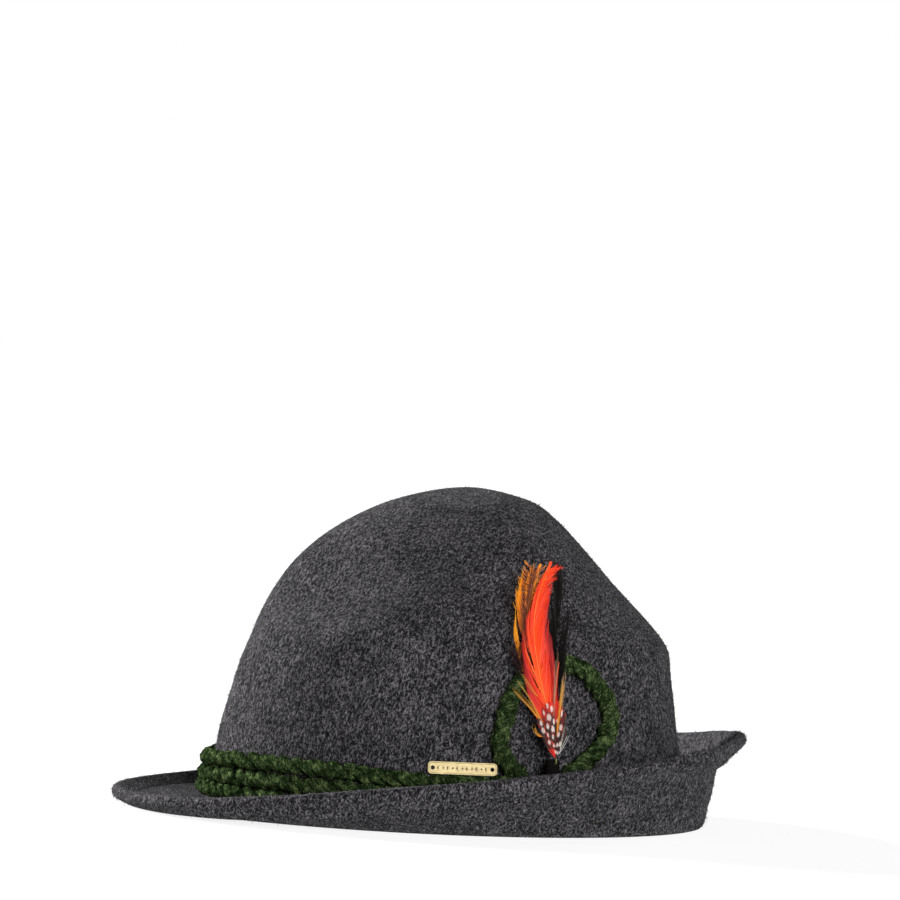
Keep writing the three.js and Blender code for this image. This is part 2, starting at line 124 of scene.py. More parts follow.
# Steps along the cords and points round the felt body
BAND_STEP = 1.3
LOOP_STEP = 1.2
KNOT_STEP = 0.9
FELT_AROUND = 312

# Counts of loose fibres
FELT_FIBRES = 58000
BAND_FIBRES = 40000
LOOP_FIBRES = 9000
KNOT_FIBRES = 8000
TASSEL_FIBRES = 900

# How far each feather's tip leans in to the crown, and how far its foot lies out from the sleeve
RED_LEAN = 9.0
RED_OUT = 0.9
YELLOW_LEAN = 12.0
YELLOW_OUT = -0.7
BLACK_LEAN = 6.0
BLACK_OUT = -2.4
SPOTTED_LEAN = 6.0
SPOTTED_OUT = 2.2
WISP_LEAN = 5.0

# The place back and up that the white drops point at
DROP_AIM = (51.4, 30.0)

# Stage: half size in metres, tone and glow of the floor, light of the white surround
FLOOR_HALF = 30.0
FLOOR_TONE = 0.20
FLOOR_GLOW = 0.86
SURROUND = 0.20

# Felt colours
FELT_DARK = (0.0055, 0.0051, 0.0059)
FELT_LIGHT = (0.165, 0.157, 0.170)

# Crown sections: up, front, back, half, as shares of the crown's height and the head's half lengths
CROWN = np.array([
    (0.082, 1.000, 1.000, 1.000),
    (0.219, 0.976, 0.981, 0.966),
    (0.356, 0.933, 0.955, 0.926),
    (0.466, 0.889, 0.930, 0.898),
    (0.534, 0.859, 0.907, 0.874),
    (0.596, 0.830, 0.838, 0.836),
    (0.671, 0.788, 0.722, 0.773),
    (0.760, 0.714, 0.589, 0.682),
    (0.842, 0.601, 0.474, 0.580),
    (0.911, 0.457, 0.368, 0.449),
    (0.966, 0.269, 0.244, 0.290),
    (1.000, 0.000, 0.000, 0.000),
])

# Dent on each side: squeeze, rise, crease, depth of the hollow, its place and its height
DENT_LEFT = (0.52, 0.233, 0.09, 0.057, 0.058, 0.808)
DENT_RIGHT = (0.70, 0.233, 0.15, 0.091, -0.327, 0.767)

# Brim at every 45 degrees from the front to the back: rise, floor, mid out, mid up, hem in, hem up
BRIM = np.array([
    (RISE_FRONT, 0.32, 0.62, 0.12, 0.39, 0.06),
    (RISE_FRONT_SIDE, 0.30, 0.60, 0.12, 0.42, 0.08),
    (RISE_SIDE, 0.257, 0.543, 0.20, 0.50, 0.56),
    (RISE_BACK_SIDE, 0.28, 0.48, 0.28, 0.66, 0.68),
    (RISE_BACK, 0.34, 0.50, 0.30, 0.70, 0.75),
])

# The loop's route on the crown: shares of the distance behind the middle and of the height
LOOP = np.array([
    (0.410, 0.116), (0.355, 0.175), (0.305, 0.210), (0.275, 0.255), (0.284, 0.304), (0.294, 0.345),
    (0.306, 0.390), (0.345, 0.451), (0.400, 0.492), (0.465, 0.510), (0.530, 0.508), (0.590, 0.490),
    (0.650, 0.445), (0.695, 0.393), (0.714, 0.344), (0.705, 0.300), (0.675, 0.255), (0.620, 0.218),
    (0.553, 0.180), (0.480, 0.116),
]) * (HEAD_BACK, CROWN_HEIGHT)


def smooth(low, high, value):
    """0 below low, 1 above high and the smooth cubic step between them."""
    t = np.clip((value - low) / (high - low), 0, 1)
    return t * t * (3 - 2 * t)


def swell(value, middle, spread):
    """A bell of height 1 round the middle."""
    return np.exp(-(((value - middle) / spread) ** 2))


def wrapped(angle):
    """The same angle between minus and plus half a turn."""
    return np.arctan2(np.sin(angle), np.cos(angle))


def unit(v):
    """Vectors of length 1 in the same directions."""
    return v / np.maximum(np.linalg.norm(v, axis=-1, keepdims=True), 1e-12)


def cardinal(rows, i, f):
    """Points on the smooth curve through the rows, a share f of the way from row i + 1 to the next."""
    a, b, c, d = rows[i], rows[i + 1], rows[i + 2], rows[i + 3]
    return 0.5 * (2 * b + (c - a) * f + (2 * a - 5 * b + 4 * c - d) * f**2
                  + (3 * b - a - 3 * c + d) * f**3)


def section(u):
    """The crown's height and its three half lengths at row number u, on a smooth curve through the
    rows. A mirrored row past the crest makes the top round."""
    first = 2 * CROWN[0] - CROWN[1]
    past = CROWN[-2] * np.array([1, -1, -1, -1])
    rows = np.vstack([first, CROWN, past])
    u = np.asarray(u, float)
    i = np.clip(np.floor(u).astype(int), 0, len(CROWN) - 2)
    f = (u - i)[..., None]
    value = cardinal(rows, i, f)
    value = value * np.array([CROWN_HEIGHT, HEAD_FRONT, HEAD_BACK, HEAD_HALF])
    return value[..., 0], value[..., 1], value[..., 2], value[..., 3]


ROW_TABLE = np.linspace(0, len(CROWN) - 1, 4001)
UP_TABLE = np.maximum.accumulate(section(ROW_TABLE)[0])


def dented(x, y, z, front):
    """Moves points of the plain crown by the dents. Above a lower edge that climbs towards the
    crest, the half width shrinks by a share that grows to the front; a hollow and a leaning ridge
    come on top."""
    dent = [np.where(x > 0, a, b) for a, b in zip(DENT_LEFT, DENT_RIGHT)]
    squeeze, rise, crease, hollow, at, high = dent
    run = np.clip((y + DENT_FRONT) / (DENT_FRONT + DENT_REAR), 0, 1.2)
    edge = DENT_LOW + (CROWN_HEIGHT - DENT_LOW) * run**DENT_CLIMB
    t = (z - edge) / (rise * CROWN_HEIGHT)
    soft = np.minimum(0.5 * (t + np.hypot(t, crease)), 1)
    forward = np.clip((DENT_REAR - y) / (DENT_REAR + front), 0, 1)
    share = squeeze * forward**DENT_TAPER * soft * (2 - soft)
    spot = swell(y, at * HEAD_FRONT, HOLLOW_LONG * HEAD_FRONT)
    spot = spot * swell(z, high * CROWN_HEIGHT, HOLLOW_TALL * CROWN_HEIGHT)
    push = hollow * HEAD_HALF * spot * np.tanh(x / HOLLOW_EDGE)
    lean = RIDGE_LEAN * swell(z, RIDGE_HIGH * CROWN_HEIGHT, RIDGE_TALL * CROWN_HEIGHT)
    ridge = np.clip((RIDGE_REAR - y) / (RIDGE_REAR + front), 0, 1) ** 2
    return np.stack([x * (1 - share) - push + lean * ridge, y, z], -1)


def crown_point(phi, u):
    """Points of the crown's outside. phi is 0 at the front and a quarter turn at the wearer's left."""
    phi, u = np.broadcast_arrays(np.asarray(phi, float), np.asarray(u, float))
    up, front, back, half = section(u)
    c = np.cos(phi)
    shift = CREST_SHIFT * smooth(CREST_START * CROWN_HEIGHT, CROWN_HEIGHT, up)
    y = -np.where(c > 0, front, back) * c + shift
    return dented(half * np.sin(phi), y, up, front)


def wall_frame(phi, up):
    """Points of the crown's wall at a height, with directions along the wall, up it and out."""
    phi, up = np.broadcast_arrays(np.asarray(phi, float), np.asarray(up, float))
    u = np.interp(np.maximum(up, CROWN[0, 0] * CROWN_HEIGHT), UP_TABLE, ROW_TABLE)
    step = 0.002
    point = crown_point(phi, u)
    point[..., 2] = up
    along = unit(crown_point(phi + step, u) - crown_point(phi - step, u))
    rise = unit(crown_point(phi, u + step) - crown_point(phi, np.maximum(u - step, 0)))
    return point, along, rise, unit(np.cross(along, rise))


def phi_on_left(back, up):
    """The angle on the wearer's left at a distance behind the crown's middle."""
    u = np.interp(up, UP_TABLE, ROW_TABLE)
    _, front, rear, _ = section(u)
    y = back - CREST_SHIFT * smooth(CREST_START * CROWN_HEIGHT, CROWN_HEIGHT, up)
    return np.arccos(np.clip(-y / np.where(y > 0, rear, front), -1, 1))


def brim_line(phi):
    """The brim's inner outline at each phi and the way from there to the rim, seen from above."""
    c, s = np.cos(phi), np.sin(phi)
    long = np.where(c > 0, HEAD_FRONT, HEAD_BACK)
    reach = long + np.where(c > 0, BRIM_FRONT, BRIM_BACK)
    foot = np.stack([HEAD_HALF * s, -long * c, 0 * s], -1)
    return foot, np.stack([(HEAD_HALF + BRIM_SIDE) * s, -reach * c, 0 * s], -1) - foot


def brim_knots(phi):
    """The five knots [out, up] of the brim's underside at each phi: wall, end of the flat ring,
    middle of the slope, lower edge of the hem and rim. They follow a smooth curve through the rows,
    alike on both sides."""
    last = len(BRIM) - 1
    place = np.minimum(phi, 2 * np.pi - phi) / np.pi * last
    i = np.clip(np.floor(place).astype(int), 0, last - 1)
    rows = BRIM[[1, 0, 1, 2, 3, 4, 3]]
    rise, floor, mid_out, mid_up, hem_in, hem_up = cardinal(rows, i, (place - i)[:, None]).T
    width = np.linalg.norm(brim_line(phi)[1], axis=-1)
    zero = 0 * width
    knots = [zero, zero, floor * width, zero, mid_out * width, mid_up * rise,
             width - hem_in * HEM_WIDTH, HEM_FOLD + hem_up * (rise - HEM_FOLD), width, rise]
    return np.stack(knots, -1).reshape(len(phi), 5, 2)


def brim_under(knots, t):
    """Points [out, up] of the underside for t = 0 at the wall to 4 at the rim: a cubic through the
    knots, flat up to the end of the ring. knots has one row for each phi, t one value a column."""
    gaps = np.diff(knots, axis=1)
    span = np.linalg.norm(gaps, axis=-1, keepdims=True)
    slope = gaps / span
    inner = (slope[:, :-1] * span[:, 1:] + slope[:, 1:] * span[:, :-1]) / (span[:, :-1] + span[:, 1:])
    tangent = np.concatenate([slope[:, :1], inner, slope[:, -1:]], 1)
    tangent[:, 1, 1] = 0
    i = np.clip(np.floor(t).astype(int), 0, 3)
    f = (t - i)[None, :, None]
    m0 = tangent[:, i] * span[:, i]
    m1 = tangent[:, i + 1] * span[:, i]
    return ((2 * f**3 - 3 * f**2 + 1) * knots[:, i] + (f**3 - 2 * f**2 + f) * m0
            + (3 * f**2 - 2 * f**3) * knots[:, i + 1] + (f**3 - f**2) * m1)


def brim_place(phi, section_points):
    """Section points [out, up] at each phi as points in space, along the lines from the crown's foot
    to the rim."""
    foot, away = brim_line(phi)
    points = foot[:, None] + unit(away)[:, None] * section_points[..., :1]
    points[..., 2] = section_points[..., 1]
    return points


def waver(p):
    """A soft unevenness of hand blocked felt, the same for both faces: three crossed waves of 35 to
    70 mm and a quarter of a millimetre, fading out towards the ring that the hat stands on."""
    a = np.sin(p[..., 0] / 9.1 + np.sin(p[..., 1] / 13.0) + p[..., 2] / 15.0)
    b = np.sin(p[..., 1] / 7.3 + 1.3 * np.sin(p[..., 2] / 11.0))
    c = np.sin(p[..., 2] / 6.1 + p[..., 0] / 17.0 + 2.0)
    size = 0.24 * smooth(2, 25, p[..., 2])
    return p + size[..., None] * np.stack([a * b, b * c, a * c], -1)


def hem_groove(t, from_rim, middle, depth):
    """The stitched line round the hem: a groove of that depth at a distance from the rim."""
    return depth * swell(from_rim, middle, 0.75) * (t > 2.5)


def felt_rings(around):
    """The felt body's rings from the crest over the crown, along the brim's top, round the rim,
    back along the underside and up inside to the ceiling. Returns rings of points and how many of
    them lie outside the head opening."""
    phi = 2 * np.pi * np.arange(around) / around
    last = len(CROWN) - 1.0
    u_out = np.concatenate([last - 0.06 * np.arange(1, 6) ** 1.5, np.linspace(last - 0.8, 0, 96)])
    outside = crown_point(phi[None], u_out[:, None])
    knots = brim_knots(phi)
    t = np.concatenate([np.linspace(0, 1, 7), np.linspace(1, 2.6, 17)[1:], np.linspace(2.6, 3, 12)[1:],
                        np.linspace(3, 3.12, 7)[1:], np.linspace(3.12, 4, 26)[1:]])
    here = brim_under(knots, t)
    step = 0.01
    ahead = brim_under(knots, np.minimum(t + step, 4)) - brim_under(knots, np.maximum(t - step, 0))
    ahead = unit(ahead)
    normal = np.stack([-ahead[..., 1], ahead[..., 0]], -1)
    walked = np.cumsum(np.linalg.norm(np.diff(here, axis=1, prepend=here[:, :1]), axis=-1), 1)
    from_rim = walked[:, -1:] - walked
    top = here + normal * (WALL - hem_groove(t, from_rim, 9.2, 0.42))[..., None]
    fold = HEM_FOLD * smooth(3, 3.12, t) - hem_groove(t, from_rim, 6.4, 0.42) * (t > 3.1)
    under = here - normal * fold[..., None]
    corner = WALL + BAND_CORNER
    arc = np.radians(np.linspace(0, 90, 8))
    ones = np.ones((around, 1))
    top_arc = np.stack([ones * BAND_CORNER * (1 - np.cos(arc)), ones * (corner - BAND_CORNER
                       * np.sin(arc))], -1)
    in_arc = np.stack([ones * (BAND_CORNER - corner * np.cos(arc[::-1])),
                       ones * (corner - corner * np.sin(arc[::-1]))], -1)
    half_round = (WALL + HEM_FOLD) / 2
    middle = here[:, -1] + normal[:, -1] * (WALL - half_round)
    turn = np.radians(np.linspace(0, 180, 12)[1:-1])[None, :, None]
    edge = middle[:, None] + half_round * (normal[:, -1:] * np.cos(turn) + ahead[:, -1:] * np.sin(turn))
    loop = np.concatenate([top_arc, top[:, 1:], edge, under[:, :0:-1], in_arc], 1)
    brim = np.swapaxes(brim_place(phi, loop), 0, 1)
    u_in = np.concatenate([np.linspace(0, last - 0.8, 38), last - 0.2 * np.arange(3, 0, -1)])
    a = crown_point(phi[None] + step, u_in[:, None]) - crown_point(phi[None] - step, u_in[:, None])
    b = crown_point(phi[None], np.minimum(u_in + step, last)[:, None])
    b = b - crown_point(phi[None], np.maximum(u_in - step, 0)[:, None])
    inside = crown_point(phi[None], u_in[:, None]) - WALL * unit(np.cross(a, b))
    rings = waver(np.concatenate([outside, brim, inside]))
    return rings, len(outside) + len(brim) - len(arc)


def grid_faces(rings, around, start=0):
    """Quads of a grid of closed rings, wound so that they face away from the axis of rings that turn
    anticlockwise when the grid runs downwards."""
    columns = np.arange(around)
    i = (np.arange(rings - 1) * around)[:, None]
    a = i + columns
    b = i + (columns + 1) % around
    return start + np.stack([a, a + around, b + around, b], -1).reshape(-1, 4)


def fan_faces(pole, ring_start, around, outward=True):
    """Triangles between one point and a ring."""
    n = np.arange(around)
    a, b = ring_start + n, ring_start + (n + 1) % around
    pole = np.full(around, pole)
    return np.stack([pole, a, b] if outward else [pole, b, a], -1)


def closed_rings(first, rings, last):
    """One closed body from a pole, rings and a second pole."""
    count, around = rings.shape[:2]
    points = np.concatenate([first[None], rings.reshape(-1, 3), last[None]])
    return points, [grid_faces(count, around, start=1), fan_faces(0, 1, around),
                    fan_faces(len(points) - 1, 1 + (count - 1) * around, around, False)]


def joined(parts):
    """Several (points, faces) as one."""
    points, faces, start = [], [], 0
    for p, f in parts:
        points.append(p)
        faces += [rows + start for rows in f]
        start += len(p)
    return np.concatenate(points), faces


def piece(name, points, faces, material, slot, nodes=(), values=None, soft=True):
    """A mesh object in metres from points in millimetres and lists of face rows. values holds named
    numbers or vectors a point, which the material reads. It rides on the root body and stands for
    the named nodes."""
    mesh = bpy.data.meshes.new(name)
    place = points * 0.001 + np.array([0, SHIFT_BACK * 0.001, 0])
    mesh.vertices.add(len(place))
    mesh.vertices.foreach_set("co", place.astype(np.float32).ravel())
    corners = np.concatenate([rows.ravel() for rows in faces])
    sizes = np.concatenate([np.full(len(rows), rows.shape[1]) for rows in faces])
    mesh.loops.add(len(corners))
    mesh.loops.foreach_set("vertex_index", corners.astype(np.int32))
    mesh.polygons.add(len(sizes))
    starts = np.concatenate([[0], np.cumsum(sizes)[:-1]])
    mesh.polygons.foreach_set("loop_start", starts.astype(np.int32))
    mesh.polygons.foreach_set("use_smooth", np.full(len(sizes), soft))
    for key, value in (values or {}).items():
        kind = "FLOAT" if value.ndim == 1 else "FLOAT_VECTOR"
        field = "value" if value.ndim == 1 else "vector"
        attribute = mesh.attributes.new(key, kind, "POINT")
        attribute.data.foreach_set(field, value.astype(np.float32).ravel())
    mesh.update()
    mesh.validate()
    mesh.materials.append(material)
    thing = bpy.data.objects.new(name, mesh)
    bpy.context.scene.collection.objects.link(thing)
    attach(thing, "root")
    if nodes:
        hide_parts(*nodes)
    return thing


class Value:
    """One output in a material's net. Plus, minus, times and power with a number or another output
    make the node that works it out."""

    def __init__(self, look, socket):
        self.look = look
        self.socket = socket

    def maths(self, operation, *others):
        node = self.look.tree.nodes.new("ShaderNodeMath")
        node.operation = operation
        for entry, value in zip(node.inputs, (self, *others)):
            self.look.feed(entry, value)
        return Value(self.look, node.outputs[0])

    def __add__(self, other):
        return self.maths("ADD", other)

    def __sub__(self, other):
        return self.maths("SUBTRACT", other)

    def __mul__(self, other):
        return self.maths("MULTIPLY", other)

    def __pow__(self, other):
        return self.maths("POWER", other)

    def above(self, low, high):
        """0 below low, 1 above high, straight between."""
        return self.look.node("ShaderNodeMapRange", 0, Value=self, **{"From Min": low, "From Max": high})


class Look:
    """A material with one Principled shader and the nodes that feed it."""

    def __init__(self, name, **fixed):
        self.material = bpy.data.materials.new(name)
        self.material.use_nodes = True
        self.tree = self.material.node_tree
        self.tree.nodes.clear()
        self.out = self.tree.nodes.new("ShaderNodeOutputMaterial")
        self.shader = self.tree.nodes.new("ShaderNodeBsdfPrincipled")
        self.tree.links.new(self.shader.outputs[0], self.out.inputs["Surface"])
        for key, value in fixed.items():
            self.set(key.replace("_", " "), value)

    def feed(self, entry, value):
        """Links an output to the socket, or sets the socket's own value."""
        if isinstance(value, Value):
            self.tree.links.new(value.socket, entry)
        else:
            entry.default_value = value

    def set(self, key, value):
        self.feed(self.shader.inputs[key], value)

    def node(self, kind, output, settings=(), **inputs):
        """A node of that kind with its own settings and inputs. Returns one of its outputs."""
        node = self.tree.nodes.new(kind)
        for key, value in dict(settings).items():
            setattr(node, key, value)
        for key, value in inputs.items():
            entry = next(s for s in node.inputs if s.name == key and s.enabled)
            self.feed(entry, value)
        return Value(self, node.outputs[output])

    def position(self):
        """The place on the object, in metres."""
        return self.node("ShaderNodeTexCoord", "Object")

    def stretched(self, vector, scale, turn):
        """The vector turned and then scaled along each axis."""
        turned = self.node("ShaderNodeVectorRotate", 0, {"rotation_type": "EULER_XYZ"}, Vector=vector,
                           Rotation=turn)
        return self.times(turned, scale)

    def times(self, vector, scale):
        """The vector scaled along each axis."""
        node = self.tree.nodes.new("ShaderNodeVectorMath")
        node.operation = "MULTIPLY"
        self.feed(node.inputs[0], vector)
        node.inputs[1].default_value = scale
        return Value(self, node.outputs[0])

    def noise(self, vector, detail=2.0, rough=0.5, warp=0.0):
        return self.node("ShaderNodeTexNoise", 0, Vector=vector, Scale=1.0, Detail=detail,
                         Roughness=rough, Distortion=warp)

    def mix(self, share, low, high):
        """Between two colours by a share."""
        node = self.tree.nodes.new("ShaderNodeMix")
        node.data_type = "RGBA"
        self.feed(node.inputs[0], share)
        for entry, value in ((node.inputs[6], low), (node.inputs[7], high)):
            self.feed(entry, value if isinstance(value, Value) else (*value, 1.0))
        return Value(self, node.outputs[2])

    def attribute(self, name, output="Fac"):
        return self.node("ShaderNodeAttribute", output, {"attribute_name": name})

    def bump(self, height, strength, distance):
        self.set("Normal", self.node("ShaderNodeBump", 0, Height=height, Strength=strength,
                                     Distance=distance))


def felt_look():
    """Melange felt: light wool fibres in three directions over a dark grey ground."""
    look = Look("felt", Roughness=0.95, Sheen_Weight=0.03, Sheen_Roughness=0.5,
                Specular_IOR_Level=0.0)
    place = look.position()
    ground = look.noise(look.times(place, (700, 700, 560)), 3, 0.7)
    patch = look.noise(look.times(place, (70, 70, 70)), 2)
    strands = None
    for turn, scale in (((0.1, 0.1, 0.3), (1250, 1250, 420)), ((0.5, 0.3, 0.9), (1200, 1300, 440)),
                        ((1.1, 0.6, 2.1), (1250, 440, 1300))):
        n = look.noise(look.stretched(place, scale, turn), 2, 0.6, 0.6)
        line = n.above(0.54, 0.65)
        strands = line if strands is None else strands.maths("MAXIMUM", line)
    tone = ground.above(0.34, 0.70) * 0.42 + strands * 0.50 + (patch - 0.5) * 0.30
    colour = look.mix(tone.above(0.16, 0.94) ** 1.4, FELT_DARK, FELT_LIGHT)
    look.set("Base Color", colour)
    look.bump(tone, 0.7, 0.0005)
    return look.material


def dyed_look(name, roughness, gloss=0.0):
    """Fibres or barbs, each with its own colour from the attribute dye."""
    look = Look(name, Roughness=roughness, Specular_IOR_Level=gloss)
    look.set("Base Color", look.attribute("dye", "Color"))
    return look.material


def wool_look():
    """Green wool yarn: strands that run along each ply, in three greens."""
    look = Look("cord_wool", Roughness=0.95, Specular_IOR_Level=0.0)
    yarn = look.attribute("yarn", "Vector")
    strand = look.noise(look.times(yarn, (0.35, 2.6, 2.6)), 3, 0.6, 0.4)
    loose = look.noise(look.times(yarn, (0.9, 1.3, 1.3)), 2, 0.6)
    place = look.noise(look.times(look.position(), (1500, 1500, 1500)), 2, 0.6)
    patch = look.noise(look.times(look.position(), (260, 260, 260)), 2)
    tone = strand * 0.6 + loose * 0.25 + place * 0.3 + (patch - 0.5) * 0.45
    colour = look.mix(tone.above(0.42, 0.64), (0.0010, 0.0021, 0.0008), (0.022, 0.042, 0.014))
    colour = look.mix(tone.above(0.60, 0.76), colour, (0.150, 0.205, 0.080))
    look.set("Base Color", colour)
    look.bump(tone, 1.0, 0.0015)
    return look.material


def brass_look():
    """Pale worn brass with faint brushing."""
    look = Look("plate_brass", Metallic=1.0)
    place = look.position()
    brush = look.noise(look.times(place, (900, 250, 1600)), 3)
    worn = look.noise(look.times(place, (500, 500, 500)), 3)
    look.set("Base Color", look.mix(worn, (0.20, 0.160, 0.080), (0.33, 0.27, 0.150)))
    look.set("Roughness", brush * 0.22 + 0.36)
    look.bump(brush, 0.25, 0.0001)
    return look.material


def thread_look():
    """Dark thread, uneven along each turn."""
    look = Look("binding_thread", Roughness=0.8, Specular_IOR_Level=0.0)
    n = look.noise(look.times(look.position(), (700, 700, 2500)), 2)
    look.set("Base Color", look.mix(n, (0.003, 0.003, 0.003), (0.012, 0.010, 0.009)))
    return look.material


def shade(share, *colours):
    """Colours along a scale from 0 to 1, one row for each share."""
    stops = np.linspace(0, 1, len(colours))
    table = np.array(colours)
    return np.stack([np.interp(share, stops, table[:, k]) for k in range(3)], -1)


def spline(points, step):
    """A smooth curve through the points, in even steps."""
    rows = np.vstack([2 * points[0] - points[1], points, 2 * points[-1] - points[-2]])
    u = np.linspace(0, len(points) - 1, 60 * len(points))
    i = np.clip(u.astype(int), 0, len(points) - 2)
    f = (u - i)[:, None]
    return even(cardinal(rows, i, f), step)


def even(fine, step):
    """The same curve with points in even steps of about that length."""
    walked = np.concatenate([[0], np.cumsum(np.linalg.norm(np.diff(fine, axis=0), axis=1))])
    count = max(int(round(walked[-1] / step)), 2)
    at = np.linspace(0, walked[-1], count + 1)
    return np.stack([np.interp(at, walked, fine[:, k]) for k in range(3)], -1)


def carried(centre, first):
    """Directions along, beside and across a curve, carried along it without twist."""
    along = unit(np.gradient(centre, axis=0))
    beside = np.empty_like(along)
    now = np.asarray(first, float)
    for n, t in enumerate(along):
        now = now - t * (now @ t)
        now = now / np.linalg.norm(now)
        beside[n] = now
    return along, beside, np.cross(along, beside)


def tube(centre, first, radius, sides, twist=0.0):
    """A tube's rings round a curve: the middle plus the radius times the cosine beside it and minus
    the radius times the sine across it. radius is one number or one a point. Also gives each point's
    place in the yarn: distance along and two directions across, turned by the twist."""
    _, beside, across = carried(centre, first)
    turn = 2 * np.pi * np.arange(sides) / sides
    radius = np.broadcast_to(radius, len(centre))[:, None]
    a, b = radius * np.cos(turn), -radius * np.sin(turn)
    rings = centre[:, None] + a[..., None] * beside[:, None] + b[..., None] * across[:, None]
    walked = np.concatenate([[0], np.cumsum(np.linalg.norm(np.diff(centre, axis=0), axis=1))])
    spun = turn + twist * walked[:, None]
    place = np.stack([np.broadcast_to(walked[:, None], spun.shape), radius * np.cos(spun),
                      radius * np.sin(spun)], -1)
    return rings, place


def capped(rings, place):
    """The rings as a closed body, with the yarn place of each of its points."""
    body = closed_rings(rings[0].mean(0), rings, rings[-1].mean(0))
    ends = place[0].mean(0)[None], place.reshape(-1, 3), place[-1].mean(0)[None]
    return body, np.concatenate(ends)


def rope(rng, centre, first, diameter, lay, sides=10):
    """Plies laid round a curve, one full turn in each length lay. Each is a soft tube whose radius
    swells and thins a little. Returns the rings of every ply and the yarn places."""
    _, beside, across = carried(centre, first)
    walked = np.concatenate([[0], np.cumsum(np.linalg.norm(np.diff(centre, axis=0), axis=1))])
    ply = diameter * PLY_SHARE
    reach = diameter / 2 - ply
    found = []
    for k in range(PLIES):
        wander = 0.35 * np.sin(walked / 23.0 + 5 * rng.random()) + 0.2 * np.sin(walked / 9.0 + k)
        turn = 2 * np.pi * walked / lay + 2 * np.pi * k / PLIES + wander
        away = np.cos(turn)[:, None] * beside + np.sin(turn)[:, None] * across
        line = centre + reach * away
        swollen = ply * (1 + 0.08 * np.sin(walked / 3.1 + 9 * rng.random())
                         + 0.06 * np.sin(walked / 1.3 + 9 * rng.random())
                         + 0.05 * rng.normal(size=len(walked)))
        rings, place = tube(line, away[0], swollen, sides, twist=0.35)
        lumps = 0.12 * rng.normal(size=rings.shape[:2])
        rings = rings + (rings - line[:, None]) * lumps[..., None]
        place[..., 0] += 60 * rng.random()
        found.append((rings, place))
    return found


def rope_piece(name, ropes, material, nodes):
    """The plies of one or more ropes as a piece of cord."""
    bodies, places = zip(*[capped(rings, place) for rings, place in ropes])
    points, faces = joined(bodies)
    return piece(name, points, faces, material, "cord", nodes, {"yarn": np.concatenate(places)})


def scatter(rng, rings, count):
    """Random places on a grid of closed rings, even by area, with the outward direction there and
    the direction from ring to ring."""
    a, b = rings[:-1], rings[1:]
    a2, b2 = np.roll(a, -1, 1), np.roll(b, -1, 1)
    normal = np.cross(b - a, a2 - a)
    area = np.linalg.norm(normal, axis=-1).ravel()
    pick = rng.choice(len(area), count, p=area / area.sum())
    a, b, a2, b2, normal = [x.reshape(-1, 3)[pick] for x in (a, b, a2, b2, normal)]
    f, g = rng.random((2, count, 1))
    place = (a * (1 - f) + b * f) * (1 - g) + (a2 * (1 - f) + b2 * f) * g
    return place, unit(normal), unit(b - a)


def fibres(rng, roots, normal, down, length, lift, swing, width):
    """Thin pointed strips that leave the surface at the angle lift and bend over. swing is the
    heading away from down. The roots are sunk a little. Returns points and faces, five points a
    fibre."""
    across = np.cross(normal, down)

    def heading(turn, rise):
        flat = np.cos(turn)[:, None] * down + np.sin(turn)[:, None] * across
        return np.cos(rise)[:, None] * flat + np.sin(rise)[:, None] * normal

    count = len(roots)
    first = heading(swing, lift)
    second = heading(swing + rng.normal(0, 0.7, count), lift + rng.uniform(-0.7, 0.35, count))
    side = unit(np.cross(first, normal + 0.6 * rng.normal(size=(count, 3)))) * (width / 2)[:, None]
    p0 = roots - 0.15 * normal
    p1 = p0 + first * (0.5 * length)[:, None]
    p2 = p1 + second * (0.5 * length)[:, None]
    points = np.stack([p0 - side, p0 + side, p1 - 0.8 * side, p1 + 0.8 * side, p2], 1).reshape(-1, 3)
    start = 5 * np.arange(count)[:, None]
    return points, [start + np.array([0, 1, 3, 2]), start + np.array([2, 3, 4])]


def wool_fuzz(rng, name, ropes, count, material):
    """Loose wool round the plies: short fibres along them and a few long ones that stand off."""
    sizes = np.array([np.linalg.norm(np.diff(rings[:, 0], axis=0), axis=1).sum()
                      for rings, _ in ropes])
    shares = (count * sizes / sizes.sum()).astype(int)
    found = []
    for (rings, _), share in zip(ropes, shares):
        roots, normal, down = scatter(rng, rings, share)
        long = rng.random(share) ** 3
        parts = fibres(rng, roots, normal, down, 0.9 + 2.2 * long, 0.10 + 0.8 * rng.random(share) ** 2,
                       rng.normal(0, 0.6, share), 0.13 + 0.11 * rng.random(share))
        found.append(parts)
    points, faces = joined(found)
    tone = np.repeat(rng.random(len(points) // 5) ** 1.3, 5)
    dye = shade(tone, (0.001, 0.002, 0.001), (0.010, 0.020, 0.006), (0.050, 0.085, 0.028),
                (0.26, 0.33, 0.14))
    return piece(name, points, faces, material, "cord", (), {"dye": dye})


def knot_frame():
    """The knot's middle on the wall and its directions along the crown and outwards."""
    up = BAND_LOW + KNOT_HEIGHT / 2
    point, along, _, out = wall_frame(phi_on_left(KNOT_BACK, up), up)
    side = unit(np.array([along[0], along[1], 0.0]))
    away = np.array([side[1], -side[0], 0.0])
    return point, side, away if away @ out > 0 else -away


def knot_point(rows):
    """Points from rows of distance along the crown, outwards and up, in millimetres."""
    point, side, away = knot_frame()
    rows = np.atleast_2d(rows).astype(float)
    foot = np.array([point[0], point[1], BAND_LOW])
    return foot + rows[:, :1] * side + rows[:, 1:2] * away + rows[:, 2:] * np.array([0, 0, 1.0])


def plate_seat():
    """The angle and the height of the plate's middle: it sits on the dip in the band's top row."""
    up = BAND_LOW + 3 * CORD_DIAMETER + 2 * CLEARANCE - PLATE_SEAT * BAND_DIP + PLATE_HEIGHT / 2
    return phi_on_left(PLATE_BACK, up), up


